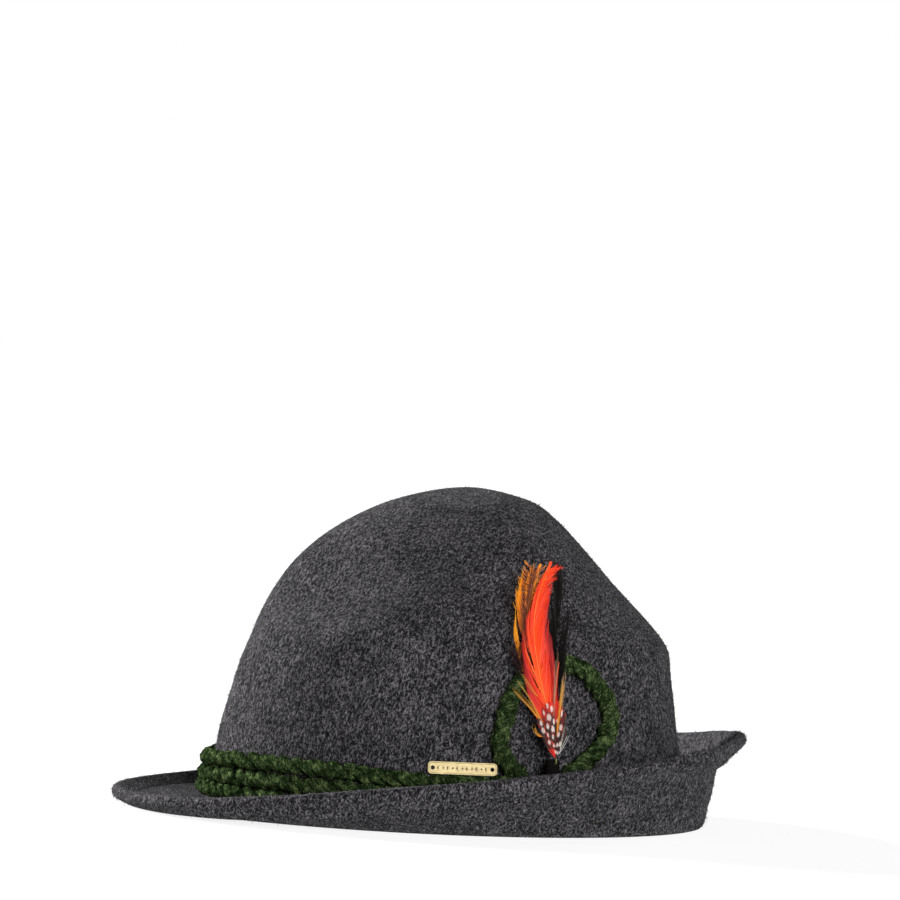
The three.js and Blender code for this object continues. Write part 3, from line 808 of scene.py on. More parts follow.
def band_ropes(rng):
    """The three rows of the band, from one side of the knot round to the other. Each follows the
    wall at its own height, dips under the plate, and is drawn to its neighbours at the front."""
    phi = phi_on_left(KNOT_BACK, BAND_LOW + KNOT_HEIGHT / 2)
    turn = 0.3 * KNOT_LENGTH / HEAD_HALF
    plate = plate_seat()[0]
    rows = []
    for n in range(3):
        up = BAND_LOW + CORD_DIAMETER / 2 + n * (CORD_DIAMETER + CLEARANCE)
        angle = np.linspace(phi + turn, phi + 2 * np.pi - turn, 2400)
        dip = BAND_DIP * swell(wrapped(angle - plate), 0, DIP_REACH)
        point, _, _, out = wall_frame(angle, up - dip)
        snug = n * (0.5 * swell(np.abs(wrapped(angle)), 0.8, 0.4) - 0.9 * swell(wrapped(angle), 0, 0.4))
        point = waver(point) + out * (CORD_DIAMETER / 2 - BAND_SINK)
        point[:, 2] += snug
        centre = even(point, BAND_STEP)
        walk = np.arange(len(centre)) * BAND_STEP
        centre[:, 2] += 0.22 * np.sin(walk / 31.0 + 2.4 * n) + 0.12 * np.sin(walk / 12.0 + n)
        rows.append(rope(rng, centre, out[0], CORD_DIAMETER + BAND_SPREAD, BAND_LAY - n))
    return rows


def loop_ropes(rng):
    """The loop that stands up from the knot against the crown. It lies a little further forward and
    lower than the route, because the route's plain tube stands off the crown's curved back."""
    back, up = LOOP[:, 0] - 2.4, LOOP[:, 1] - 0.05 * np.maximum(LOOP[:, 1] - 45, 0)
    back = back - 1.2 * smooth(55, 72, back)
    point, _, _, out = wall_frame(phi_on_left(back, up), up)
    centre = spline(point + out * (LOOP_DIAMETER / 2 + LOOP_STAND), LOOP_STEP)
    return rope(rng, centre, out[0], LOOP_DIAMETER + LOOP_SPREAD, LOOP_LAY)


def knot_ropes(rng):
    """The knot: a core lump, the loop's two ends crossing over it, and two wraps round all."""
    routes = [
        (6.0, [(-4, 8.5, 17), (-2, 12, 13.5), (3, 13, 9), (8, 11.5, 5), (12, 9, 3.4)]),
        (6.0, [(7, 8.5, 17), (4, 12.4, 12), (-2, 12.8, 8), (-7, 11, 5), (-10.5, 9, 3.6)]),
        (4.6, [(-6.5, 5, 17.5), (-6.8, 11, 14.5), (-7, 12.2, 9), (-6.8, 11, 4), (-6.4, 6, 2.6)]),
        (4.6, [(7.5, 4.5, 17.6), (8.2, 10.6, 15), (8.6, 12, 10), (8.2, 10.5, 5), (7.8, 6, 3)]),
        (5.2, [(1, 5, 17.6), (4.5, 10.4, 16.6), (9.5, 11.6, 13.2), (14.5, 9.8, 9.6), (19.5, 8.6, 7.0)]),
    ]
    ropes = []
    for thick, rows in routes:
        centre = spline(knot_point(rows), KNOT_STEP)
        ropes += rope(rng, centre, np.array([0.3, 0.9, 0.1]), thick, KNOT_LAY, sides=9)
    spine = knot_point([(-11.5 + 2.0 * n, 6.4, 8.6) for n in range(12)])
    size = np.sqrt(np.maximum(1 - np.linspace(-0.98, 0.98, 12) ** 2, 0.05))
    core, place = tube(spline(spine, 0.8), (0, 0, 1), 1.0, 24)
    swell_along = np.interp(np.linspace(0, 1, len(core)), np.linspace(0, 1, 12), size)
    middle = core.mean(1, keepdims=True)
    spread = (core - middle) * swell_along[:, None, None]
    spread = spread * np.array([1, 1, 0]) * 5.6 + spread * np.array([0, 0, 1]) * 7.4
    ropes.append((middle + spread, place * 5))
    return ropes


def tassel(rng, count):
    """The knot's frayed end: long loose fibres that fan out behind it."""
    start = rng.normal(size=(count, 3)) * np.array([1.2, 1.3, 1.8]) + np.array([16.5, 8.6, 7.6])
    heading = np.array([1.0, 0.12, -0.16]) + rng.normal(size=(count, 3)) * np.array([0.1, 0.30, 0.33])
    size = rng.uniform(4, 11, count)[:, None]
    end = start + unit(heading) * size
    end[:, 1] = np.clip(end[:, 1], 1.5, 14)
    end[:, 2] = np.clip(end[:, 2], 0.6, 16)
    bend = (start + end) / 2 + rng.normal(size=(count, 3)) * 0.9
    t = np.linspace(0, 1, 6)[None, :, None]
    path = start[:, None] * (1 - t) ** 2 + 2 * bend[:, None] * t * (1 - t) + end[:, None] * t**2
    path = knot_point(path.reshape(-1, 3)).reshape(count, 6, 3)
    tone = rng.random(count)
    dye = shade(np.repeat(tone, 12), (0.004, 0.008, 0.003), (0.016, 0.032, 0.009),
                (0.055, 0.090, 0.028))
    point, faces = ribbons(rng, path, np.array([0.8, 0.5, 0.2]), np.full((count, 6), 0.12))
    return point, faces, dye


def ribbons(rng, path, facing, half_width):
    """Flat strips along paths (count, steps, 3) that face about the given direction."""
    count, steps = path.shape[:2]
    ahead = np.gradient(path, axis=1)
    face = facing + 0.35 * rng.normal(size=(count, 1, 3))
    side = unit(np.cross(ahead, np.broadcast_to(face, path.shape))) * half_width[..., None]
    points = np.stack([path - side, path + side], 2).reshape(-1, 3)
    base = (np.arange(count) * steps * 2)[:, None] + 2 * np.arange(steps - 1)
    faces = (base[..., None] + np.array([0, 2, 3, 1])).reshape(-1, 4)
    return points, [faces]


def tuft_foot():
    """The middle of the sleeve that the feathers stand in, and the height of its top."""
    foot = knot_point([(TUFT_BACK, KNOT_REACH / 2, 0)])[0]
    return foot[0], foot[1], BAND_LOW + BINDING_SEAT * KNOT_HEIGHT + BINDING_LENGTH


def bent(points, s):
    """Points and directions [back, up] at shares s of a smooth curve through the points, straight on
    past its end."""
    flat = np.column_stack([points, np.zeros(len(points))])
    line = spline(flat, 0.5)[:, :2]
    turn = unit(np.gradient(line, axis=0))
    at = np.linspace(0, 1, len(line))
    t = np.clip(s, 0, 1)
    place = np.stack([np.interp(t, at, line[:, k]) for k in range(2)], -1)
    ahead = unit(np.stack([np.interp(t, at, turn[:, k]) for k in range(2)], -1))
    length = 0.5 * (len(line) - 1)
    return place + ahead * (length * np.maximum(s - 1, 0))[..., None], ahead


def standing(place, depth, lean):
    """Points in space from [back, up] and how far out they lie: the feathers lean in towards the
    crown more and more with height."""
    x0, _, top = tuft_foot()
    share = np.clip((place[..., 1] - top) / FEATHER_HEIGHT, 0, 1.3)
    return np.stack([x0 + depth - lean * share**1.8, place[..., 0], place[..., 1]], -1)


def hackle(rng, spine, edges, depth, lean, start, barbs, reach, steps=9, width=0.17, cup=1.0,
           loose=0.25, clumps=60, gather=0.25, point=0.035, stagger=0.06):
    """One feather. Its barbs leave the shaft in clumps, sweep out and run up towards the tip until
    they end at the outline, close together at each clump's point. edges has rows of share of length,
    left and right half width. Returns strips, and for each point its share of the barb, its reach
    across, its share of the feather and a tone."""
    edges = np.array(edges)
    side = np.where(rng.random(clumps) < 0.5, -1.0, 1.0)
    root = start + (0.97 - start) * rng.random(clumps) ** 0.85
    end = np.minimum(root + reach * rng.uniform(0.65, 1.15, clumps),
                     1.02 - stagger * rng.random(clumps) ** 0.7)
    wide = np.where(side < 0, np.interp(end, edges[:, 0], edges[:, 1]),
                    np.interp(end, edges[:, 0], edges[:, 2]))
    inner = loose + (1 - loose) * smooth(0.75, 1.0, end)
    wide = side * wide * (1 - inner * rng.random(clumps) ** 1.3)
    layer, tint = rng.normal(0, 0.25, clumps), rng.random(clumps)
    pick = rng.integers(clumps, size=barbs)
    root = np.clip(root[pick] + 0.055 * rng.normal(size=barbs), start, 0.98)
    off = rng.normal(size=barbs)
    end = np.maximum(end[pick] - point * np.abs(off) - 0.01 * rng.random(barbs), root + 0.04)
    wide = wide[pick] + gather * off
    t = np.linspace(0, 1, steps)[None]
    share = root[:, None] + (end - root)[:, None] * t
    across = wide[:, None] * (1 - (1 - t) ** 1.9)
    across = across + 0.3 * (rng.normal(size=(barbs, 1)) * np.sin(2.5 * t) * t)
    place, ahead = bent(spine, share)
    beside = np.stack([ahead[..., 1], -ahead[..., 0]], -1)
    place = place + across[..., None] * beside
    drift = depth + (layer[pick] + rng.normal(0, 0.12, barbs))[:, None] * t - cup * (across / 7.0) ** 2
    path = standing(place, drift, lean)
    half = width * (1 - 0.72 * t) * rng.uniform(0.7, 1.2, (barbs, 1))
    points, faces = ribbons(rng, path, np.array([1.0, -0.05, 0.1]), half)
    tone = (0.6 * tint[pick] + 0.4 * rng.random(barbs))[:, None]
    facts = [np.repeat(np.broadcast_to(v, share.shape).ravel(), 2) for v in (t, across, share, tone)]
    return points, faces, facts


def shaft(spine, depth, lean, radius):
    """The feather's shaft, thinning to its tip."""
    s = np.linspace(0, 0.97, 40)
    place = bent(spine, s)[0]
    rings = tube(standing(place, depth, lean), (1, 0, 0), radius * (1 - 0.85 * s), 6)[0]
    return closed_rings(rings[0].mean(0), rings, rings[-1].mean(0))


def wisps(rng, foot, bend, tip, count, spread, depth, lean, width=0.13):
    """A few loose barbs in a bunch, from one place to tips that spread out."""
    t = np.linspace(0, 1, 10)[None, :, None] * rng.uniform(0.72, 1.0, (count, 1, 1))
    off = rng.normal(size=(count, 1, 2)) * spread
    ends = np.array(tip) + off
    bends = np.array(bend) + 0.5 * off + rng.normal(size=(count, 1, 2)) * 0.5
    place = np.array(foot, float) * (1 - t) ** 2 + 2 * bends * t * (1 - t) + ends * t**2
    path = standing(place, depth + rng.normal(0, 0.5, (count, 1)) * t[..., 0], lean)
    half = width * (1 - 0.75 * t[..., 0])
    points, faces = ribbons(rng, path, np.array([1.0, 0, 0.1]), half)
    return points, faces, np.repeat(t[..., 0].ravel(), 2), np.repeat(rng.random(count), 20)


def feather_piece(name, parts, material):
    """Strips and shafts with their colours as one piece."""
    points, faces = joined([(p, f) for p, f, dye in parts])
    dye = np.concatenate([d for p, f, d in parts])
    return piece(f"{name}_look", points, faces, material, name, (name,), {"dye": dye})


def even_dye(points, colour):
    """The same colour for every point."""
    return np.broadcast_to(np.array(colour), points.shape)


def red_feather(rng, material):
    """The tall red hackle in front, orange along its middle and darker to its edges."""
    spine = [(50.6, 36), (48.2, 50), (44.8, 61.6), (42.3, 71.5), (40.2, 81.3), (39.2, 92), (40.9, 105),
             (45.3, 116)]
    edges = [(0.0, 0.4, 0.4), (0.12, 2.0, 1.6), (0.29, 5.0, 4.2), (0.44, 6.8, 6.0), (0.57, 6.6, 7.2),
             (0.70, 4.6, 7.1), (0.78, 2.8, 6.8), (0.85, 1.5, 5.8), (0.93, 0.9, 4.0), (1.0, 0.6, 2.2),
             (1.04, 0.3, 1.2)]
    points, faces, (t, across, share, tone) = hackle(rng, spine, edges, RED_OUT, RED_LEAN, 0.02,
                                                     1300, 0.40, clumps=120, loose=0.3, gather=0.17,
                                                     point=0.055, stagger=0.16)
    edge = np.clip(np.abs(across) / 7.0, 0, 1)
    mixed = np.clip(0.62 * edge + 0.62 * tone - 0.12 + 0.2 * (t > 0.8) * edge, 0, 1)
    dye = shade(mixed, (0.80, 0.115, 0.006), (0.76, 0.050, 0.005), (0.68, 0.026, 0.005),
                (0.48, 0.010, 0.007), (0.22, 0.005, 0.005))
    streak = smooth(0.80, 0.95, tone) * (across > 1.0) * smooth(0.6, 0.75, share)
    dye = dye * (1 - streak[:, None]) + streak[:, None] * np.array([0.88, 0.27, 0.012])
    body, shaft_faces = shaft(spine, RED_OUT + 0.2, RED_LEAN, 0.32)
    parts = [(points, faces, dye), (body, shaft_faces, even_dye(body, (0.86, 0.16, 0.03)))]
    p, f, t, tone = wisps(rng, (49.8, 54), (49.6, 66), (50.9, 77.4), 6, 0.5, 1.2, 6.0)
    parts.append((p, f, shade(tone, (0.70, 0.02, 0.01), (0.90, 0.10, 0.02), (0.80, 0.22, 0.05))))
    feather_piece("feather_red", parts, material)


def yellow_feather(rng, material):
    """The golden hackle behind the red one, brown low on its barbs, and the golden wisps round the
    tuft's foot."""
    spine = [(50.4, 36), (46.0, 52), (40.8, 66), (37.2, 80), (36.0, 92), (36.8, 104), (38.6, 115)]
    edges = [(0.0, 0.4, 0.4), (0.30, 2.0, 2.0), (0.50, 3.6, 3.6), (0.62, 4.6, 4.0), (0.75, 5.4, 4.4),
             (0.88, 6.2, 4.6), (0.96, 6.6, 4.8), (1.0, 5.4, 4.8), (1.04, 2.6, 3.6)]
    points, faces, (t, _, _, tone) = hackle(rng, spine, edges, YELLOW_OUT, YELLOW_LEAN, 0.05, 760, 0.32,
                                            width=0.13, loose=0.18, clumps=60, gather=0.17,
                                            point=0.06, stagger=0.15)
    mixed = np.clip(1.25 * t - 0.42 + 0.42 * tone, 0, 1)
    dye = shade(mixed, (0.09, 0.020, 0.006), (0.38, 0.080, 0.006), (0.76, 0.220, 0.004),
                (0.83, 0.34, 0.006))
    body, shaft_faces = shaft(spine, YELLOW_OUT, YELLOW_LEAN, 0.3)
    parts = [(points, faces, dye), (body, shaft_faces, even_dye(body, (0.40, 0.13, 0.02)))]
    bunches = (
        ((46.5, 46), (40, 56), (28.8, 64.6), 9, 0.9, 1.6),
        ((46, 47), (41.5, 55), (36.8, 59.4), 8, 0.9, 1.4),
        ((44.5, 50), (38.5, 60), (32.2, 67.4), 4, 0.5, 1.0),
        ((42.5, 60), (38, 65), (34.9, 69.9), 5, 0.25, 0.9),
        ((46.2, 43.2), (41.6, 42.6), (41.3, 48.4), 12, 0.35, 1.8),
        ((51.4, 44), (51.6, 52), (53.6, 66.5), 12, 0.5, 2.6),
        ((51.6, 50), (53.0, 60), (53.6, 71.4), 7, 0.6, 2.2),
        ((52, 52), (52.6, 60), (53.5, 67.5), 5, 0.5, 2.0),
    )
    for foot, bend, tip, count, spread, depth in bunches:
        p, f, t, tone = wisps(rng, foot, bend, tip, count, spread, depth, WISP_LEAN, 0.07)
        parts.append((p, f, shade(0.5 * t + 0.5 * tone, (0.68, 0.11, 0.006), (0.62, 0.25, 0.014),
                                  (0.60, 0.42, 0.090))))
    feather_piece("feather_yellow", parts, material)


def black_feather(rng, material):
    """The black hackle behind the others, and a second, sparse dark one that leans forward."""
    spine = [(50.6, 36), (50.0, 56), (49.3, 78), (48.9, 98), (47.9, 116)]
    edges = [(0.0, 0.4, 0.4), (0.40, 2.0, 2.0), (0.50, 3.0, 3.8), (0.62, 3.6, 5.2), (0.77, 3.6, 5.6),
             (0.86, 3.2, 4.4), (0.95, 2.2, 2.6), (1.0, 1.6, 2.0), (1.04, 1.0, 1.2)]
    points, faces, (t, _, _, tone) = hackle(rng, spine, edges, BLACK_OUT, BLACK_LEAN, 0.05, 520, 0.30,
                                            width=0.13, loose=0.7, clumps=110, gather=0.4)
    dye = shade(tone * 0.6 + 0.4 * t, (0.002, 0.002, 0.002), (0.006, 0.0055, 0.005),
                (0.022, 0.019, 0.018))
    body, shaft_faces = shaft(spine, BLACK_OUT, BLACK_LEAN, 0.3)
    parts = [(points, faces, dye), (body, shaft_faces, even_dye(body, (0.005, 0.004, 0.004)))]
    down = [(49.0, 42), (41.5, 60), (31.0, 82)]
    rows = [(0.0, 0.5, 0.5), (0.4, 3.4, 3.5), (0.7, 4.6, 5.5), (1.0, 3.0, 3.5)]
    points, faces, (_, _, _, tone) = hackle(rng, down, rows, BLACK_OUT + 0.2, WISP_LEAN, 0.10, 210, 0.38,
                                            width=0.07, loose=0.9, clumps=90, gather=0.7)
    dye = shade(tone, (0.004, 0.003, 0.003), (0.016, 0.008, 0.008), (0.060, 0.020, 0.022))
    parts.append((points, faces, dye))
    feather_piece("feather_black", parts, material)


# White drops of the spotted feather: back, up, half width, half height
DROPS = np.array([
    (46.6, 56.7, 0.6, 1.5), (48.6, 55.2, 0.65, 1.5), (45.4, 53.3, 0.55, 1.2), (43.6, 52.0, 0.5, 1.3),
    (47.5, 51.4, 1.15, 1.6), (53.0, 53.5, 0.5, 1.5), (49.8, 49.9, 0.5, 1.5), (51.2, 50.2, 0.5, 1.2),
    (44.3, 48.8, 0.65, 1.3), (45.5, 45.7, 0.9, 1.4), (47.2, 47.6, 0.8, 1.4), (49.5, 46.6, 0.9, 1.5),
    (52.9, 47.5, 0.8, 1.5), (47.6, 43.9, 0.45, 1.2), (49.7, 43.3, 0.45, 1.3), (51.9, 44.4, 0.75, 1.2),
    (48.3, 40.9, 0.8, 1.2), (50.3, 39.5, 0.55, 0.8), (51.7, 39.9, 0.5, 0.9), (52.9, 40.4, 0.5, 1.2),
    (51.1, 36.9, 0.5, 0.8), (52.1, 36.4, 0.6, 0.9),
])


def drops_at(points, ragged):
    """How much of each point lies in a white drop: an ellipse that points at the feather's foot, with
    an edge that ragged moves in and out."""
    flat = points[:, None, 1:]
    ahead = unit(DROPS[:, :2] - DROP_AIM)
    off = flat - DROPS[:, :2]
    along = (off * ahead).sum(-1) / (0.86 * DROPS[:, 3])
    across = (off[..., 0] * ahead[:, 1] - off[..., 1] * ahead[:, 0]) / (0.80 * DROPS[:, 2])
    return 1 - smooth(0.75, 1.3, (along**2 + across**2).min(1) + ragged - 0.45)


def spotted_feather(rng, material):
    """The short dark feather in front with its white drops, red at the top and at the foot, and a few
    pale wisps."""
    spine = [(51.4, 34.2), (51.0, 40), (50.2, 47), (48.8, 58)]
    edges = [(0.0, 0.4, 0.5), (0.12, 1.9, 1.8), (0.28, 3.5, 3.1), (0.55, 6.0, 4.2), (0.82, 7.0, 4.9),
             (0.92, 5.0, 4.4), (1.0, 2.6, 2.6), (1.04, 1.0, 1.0)]
    points, faces, (_, _, _, tone) = hackle(rng, spine, edges, SPOTTED_OUT, SPOTTED_LEAN, 0.0, 560, 0.45,
                                            steps=26, width=0.21, cup=0.35, loose=0.6,
                                            clumps=150, gather=0.5)
    white = drops_at(points, 1.5 * (tone - 0.2))[:, None] * (0.8 + 0.2 * rng.random((len(points), 1)))
    red = smooth(50, 56, points[:, 2] + 8 * (tone - 0.5)) + smooth(0.78, 0.86, tone)
    red = np.clip(red + smooth(38.6, 37.2, points[:, 2]) * (points[:, 1] < 51.0), 0, 1)[:, None]
    ground = shade(tone, (0.010, 0.005, 0.004), (0.030, 0.010, 0.008), (0.075, 0.022, 0.018))
    ground = ground * (1 - red) + red * np.array([0.62, 0.026, 0.009])
    parts = [(points, faces, ground * (1 - white) + white * np.array([0.68, 0.54, 0.50]))]
    for foot, bend, tip, count, colour in (
            ((52.4, 36), (54.0, 40), (56.7, 45.6), 3, (0.62, 0.60, 0.56)),
            ((53, 38), (54.2, 43), (54.5, 48), 3, (0.50, 0.47, 0.42)),
            ((51.6, 34), (51.3, 32.6), (51.7, 31.6), 4, (0.20, 0.24, 0.04)),
            ((49.6, 52), (49.5, 66), (49.3, 82), 5, (0.24, 0.14, 0.09)),
            ((52, 54), (53.2, 63), (53.7, 72), 4, (0.30, 0.20, 0.12))):
        p, f, _, _ = wisps(rng, foot, bend, tip, count, 0.45, 2.4, WISP_LEAN, 0.10)
        parts.append((p, f, even_dye(p, colour)))
    feather_piece("feather_spotted", parts, material)


def plate_body():
    """The plate with a bevelled edge, a raised border, two holes and a row of small studs, flat, in
    its own millimetres: x along, y up, z out."""
    def outline(inset):
        """The rounded outline, drawn in by that much."""
        x, y, r = PLATE_LENGTH / 2 - inset, PLATE_HEIGHT / 2 - inset, PLATE_CORNER - 0.5 * inset
        corner = np.radians(np.linspace(0, 90, 9))
        found = []
        for sx, sy, start in ((1, -1, -90), (1, 1, 0), (-1, 1, 90), (-1, -1, 180)):
            a = corner + math.radians(start)
            found.append(np.stack([sx * (x - r) + r * np.cos(a), sy * (y - r) + r * np.sin(a)], -1))
        return np.concatenate(found)

    def level(flat, height):
        """Flat points at a height."""
        return np.column_stack([flat, np.full(len(flat), height)])

    turn = 2 * np.pi * np.arange(28) / 28
    holes = [PLATE_HOLE * np.stack([np.cos(turn), np.sin(turn)], -1)
             + np.array([end * (PLATE_LENGTH / 2 - PLATE_HOLE_INSET), 0]) for end in (-1, 1)]
    floor = PLATE_THICK - PLATE_RECESS
    rings = [level(outline(0), 0), level(outline(0), PLATE_THICK - 0.25),
             level(outline(0.2), PLATE_THICK), level(outline(0.55), PLATE_THICK),
             level(outline(0.7), floor)]
    size = len(rings[0])
    points = np.concatenate(rings + [level(h, floor) for h in holes] + [level(h, 0) for h in holes])
    faces = []
    for k in range(4):
        a = k * size + np.arange(size)
        b = k * size + (np.arange(size) + 1) % size
        faces.append(np.stack([a, b, b + size, a + size], -1))
    top_hole, low_hole = 5 * size, 5 * size + 56
    for h in (0, 28):
        a, b = top_hole + h + np.arange(28), top_hole + h + (np.arange(28) + 1) % 28
        faces.append(np.stack([a, b, b + 56, a + 56], -1))
    faces.append(filled(points, [range(4 * size, 5 * size), range(top_hole, top_hole + 28),
                                 range(top_hole + 28, top_hole + 56)], True))
    faces.append(filled(points, [range(0, size), range(low_hole, low_hole + 28),
                                 range(low_hole + 28, low_hole + 56)], False))
    bodies = [(points, faces)]
    for n in range(STUDS):
        middle = np.array([(n - (STUDS - 1) / 2) * STUD_STEP, 0.0, floor])
        long, tall = (0.95, 1.35) if n % 2 == 0 else (0.55, 0.75)
        ring = np.array([(long, 0, 0), (0, tall, 0), (-long, 0, 0), (0, -tall, 0)])
        stud = np.concatenate([middle + [(0, 0, 0.16)], middle + ring - [(0, 0, 0.02)],
                               middle - [(0, 0, 0.3)]])
        bodies.append((stud, [fan_faces(0, 1, 4), fan_faces(5, 1, 4, False)]))
    return joined(bodies)


def filled(points, loops, upward):
    """Triangles that fill the first loop and leave the others open."""
    import bmesh
    mesh = bmesh.new()
    index = [n for loop in loops for n in loop]
    verts = {n: mesh.verts.new(points[n]) for n in index}
    edges = []
    for loop in loops:
        row = list(loop)
        edges += [mesh.edges.new((verts[a], verts[b])) for a, b in zip(row, row[1:] + row[:1])]
    bmesh.ops.triangle_fill(mesh, use_beauty=True, use_dissolve=False, edges=edges)
    back = {v: n for n, v in verts.items()}
    faces = np.array([[back[v] for v in f.verts] for f in mesh.faces])
    mesh.free()
    a, b, c = points[faces[:, 0]], points[faces[:, 1]], points[faces[:, 2]]
    up = np.cross(b - a, c - a)[:, 2] > 0
    faces[up != upward] = faces[up != upward][:, ::-1]
    return faces


def make_plate(material):
    """The plate laid against the wall on the band's top row."""
    point, along, rise, out = wall_frame(*plate_seat())
    flat, faces = plate_body()
    place = flat @ np.stack([along, rise, out]) + point + CLEARANCE * out
    piece("name_plate_look", place, faces, material, "brass", ("name_plate",), soft=False)


def make_binding(material):
    """The sleeve: thread wound round the quills in close turns, on a core."""
    x, y, top = tuft_foot()
    foot = top - BINDING_LENGTH
    turns = 15
    a = np.linspace(0, 2 * np.pi * turns, 26 * turns)
    share = a / a[-1]
    radius = (BINDING_DIAMETER / 2 - 0.45) * (1 - 0.10 * share)
    line = np.stack([x + radius * np.cos(a), y + radius * np.sin(a),
                     foot + 0.5 + (BINDING_LENGTH - 1.0) * share], -1)
    thread = tube(line, (0, 0, 1), 0.47, 6)[0]
    z = np.array([foot + 0.2, foot + 0.3, top - 0.5, top - 0.2])
    core = np.stack([x + 0 * z, y + 0 * z, z], -1)
    core = tube(core, (1, 0, 0), np.array([2.2, 2.9, 2.6, 1.6]), 24)[0]
    body = joined([closed_rings(r[0].mean(0), r, r[-1].mean(0)) for r in (thread, core)])
    piece("feather_binding_look", *body, material, "binding", ("feather_binding",))


def make_felt(rng):
    """The felt body, and its loose fibres in two pieces."""
    rings, outer = felt_rings(FELT_AROUND)
    crest, ceiling = rings[0].mean(0), rings[-1].mean(0)
    crest[2] = rings[0][:, 2].max() + 0.01
    ceiling[2] = rings[-1][:, 2].max() + 0.01
    points, faces = closed_rings(crest, rings, ceiling)
    piece("felt_body_look", points, faces, felt_look(), "felt", ("felt_body",))
    fuzz = dyed_look("felt_fibre", 0.9)
    for n in range(2):
        roots, normal, down = scatter(rng, rings[:outer], FELT_FIBRES)
        keep = roots[:, 2] > 1.5
        roots, normal, down = roots[keep], normal[keep], down[keep]
        count = len(roots)
        length = 0.9 + 1.9 * rng.random(count) ** 2
        lift = 0.12 + 1.05 * rng.random(count) ** 2.2
        swing = rng.normal(0, 1.1, count)
        points, faces = fibres(rng, roots, normal, down, length, lift, swing,
                               0.10 + 0.09 * rng.random(count))
        tone = np.repeat(rng.random(count) ** 1.7, 5)
        dye = shade(tone, (0.005, 0.0045, 0.0055), (0.024, 0.022, 0.026), (0.095, 0.090, 0.100),
                    (0.32, 0.31, 0.33))
        piece(f"felt_fuzz_{n + 1}", points, faces, fuzz, "felt", (), {"dye": dye})


def make_cords(rng):
    """The three rows, the loop with its knot, and their loose wool."""
    wool = wool_look()
    hair = dyed_look("cord_fibre", 0.85)
    rows = band_ropes(rng)
    for name, ropes in zip(("cord_row_low", "cord_row_mid", "cord_row_top"), rows):
        rope_piece(f"{name}_look", ropes, wool, (name,))
    loop = loop_ropes(rng)
    knot = knot_ropes(rng)
    rope_piece("cord_loop_look", loop + knot, wool, ("cord_loop",))
    wool_fuzz(rng, "cord_band_fuzz", [r for ropes in rows for r in ropes], BAND_FIBRES, hair)
    wool_fuzz(rng, "cord_loop_fuzz", loop, LOOP_FIBRES, hair)
    wool_fuzz(rng, "cord_knot_fuzz", knot, KNOT_FIBRES, hair)
    points, faces, dye = tassel(rng, TASSEL_FIBRES)
    piece("cord_tassel", points, faces, hair, "cord", (), {"dye": dye})


def make_camera():
    """The photograph's side view: from a little behind the wearer's left, 5 degrees above. The
    picture is 900 x 900. The hat's origin falls at ORIGIN_AT, and the camera is rolled."""
    turn, rise, roll = math.radians(-3), math.radians(5), math.radians(2.5)
    pixels_per_mm, distance, origin_at = 2.25, 2500.0, (444.0, 815.0)
    focal = pixels_per_mm * distance
    toward = Vector((math.cos(turn) * math.cos(rise), -math.sin(turn) * math.cos(rise), math.sin(rise)))
    right = Vector((math.sin(turn), math.cos(turn), 0))
    up = toward.cross(right)
    rolled = Matrix((right * math.cos(roll) + up * math.sin(roll),
                     up * math.cos(roll) - right * math.sin(roll), toward)).transposed()
    sight = Vector((origin_at[0] - 450, 450 - origin_at[1], -focal)).normalized()
    aim = Vector((0, 0, -1)).rotation_difference(sight).to_matrix()
    data = bpy.data.cameras.new("camera")
    data.sensor_width = 36.0
    data.lens = focal / 900 * 36.0
    data.clip_end = 100.0
    camera = bpy.data.objects.new("camera", data)
    place = (rolled @ aim.transposed()).to_4x4()
    place.translation = toward * (distance * 0.001) + Vector((0, SHIFT_BACK * 0.001, 0))
    camera.matrix_world = place
    bpy.context.scene.collection.objects.link(camera)
    bpy.context.scene.camera = camera


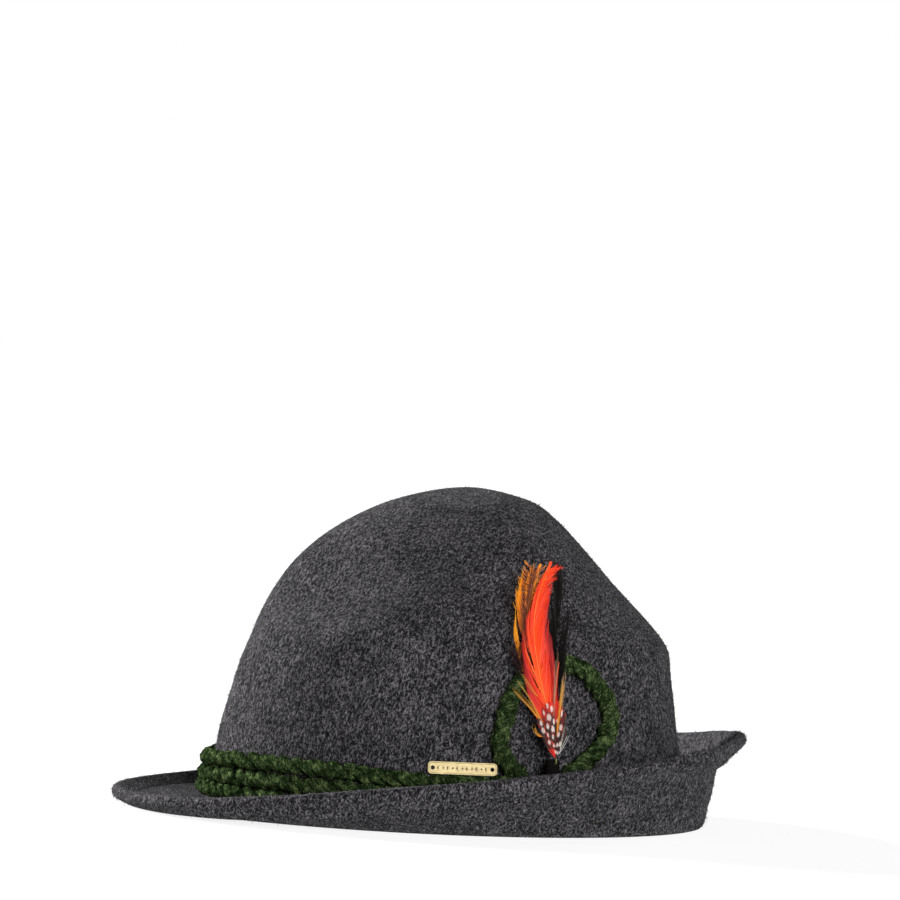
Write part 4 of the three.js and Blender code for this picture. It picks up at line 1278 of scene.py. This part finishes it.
def soft_sun(name, place, spread, strength):
    """A far, soft light from the direction of that place."""
    data = bpy.data.lights.new(name, "SUN")
    data.angle = math.radians(spread)
    data.energy = strength
    light = bpy.data.objects.new(name, data)
    bpy.context.scene.collection.objects.link(light)
    light.location = place
    light.rotation_euler = (-Vector(place)).to_track_quat("-Z", "Y").to_euler()


def make_stage():
    """A wide pale floor that glows a little, a white surround and soft lights. The surround lights
    less than it shows."""
    mesh = bpy.data.meshes.new("floor")
    s = FLOOR_HALF
    mesh.from_pydata([(-s, -s, 0), (s, -s, 0), (s, s, 0), (-s, s, 0)], [], [(0, 1, 2, 3)])
    floor = bpy.data.objects.new("floor", mesh)
    bpy.context.scene.collection.objects.link(floor)
    paper = Look("floor_paper", Roughness=0.9, Specular_IOR_Level=0.0)
    paper.set("Base Color", (FLOOR_TONE, FLOOR_TONE, FLOOR_TONE, 1.0))
    paper.set("Emission Color", (1.0, 1.0, 1.0, 1.0))
    paper.set("Emission Strength", FLOOR_GLOW)
    mesh.materials.append(paper.material)
    world = bpy.data.worlds.new("surround")
    bpy.context.scene.world = world
    world.use_nodes = True
    nodes, links = world.node_tree.nodes, world.node_tree.links
    seen = nodes.new("ShaderNodeLightPath").outputs["Is Camera Ray"]
    amount = nodes.new("ShaderNodeMath")
    amount.operation = "MULTIPLY_ADD"
    links.new(seen, amount.inputs[0])
    amount.inputs[1].default_value = 1.0 - SURROUND
    amount.inputs[2].default_value = SURROUND
    back = nodes["Background"]
    back.inputs["Color"].default_value = (1.0, 1.0, 1.0, 1.0)
    links.new(amount.outputs[0], back.inputs["Strength"])
    soft_sun("key", (1.0, 0.42, 0.26), 26, 3.4)
    soft_sun("rim", (-0.58, -0.80, 0.36), 14, 14.0)
    soft_sun("rim_behind", (-0.85, 0.60, 0.30), 20, 1.0)
    bpy.context.scene.view_settings.view_transform = "Standard"


def main():
    """Makes every piece in turn. All random draws come from one row of numbers."""
    rng = np.random.default_rng(11)
    make_camera()
    make_felt(rng)
    make_cords(rng)
    make_plate(brass_look())
    make_binding(thread_look())
    barbs = dyed_look("feather_barbs", 0.5, 0.2)
    red_feather(rng, barbs)
    yellow_feather(rng, barbs)
    black_feather(rng, dyed_look("feather_black_barbs", 0.8))
    spotted_feather(rng, barbs)
    make_stage()


main()
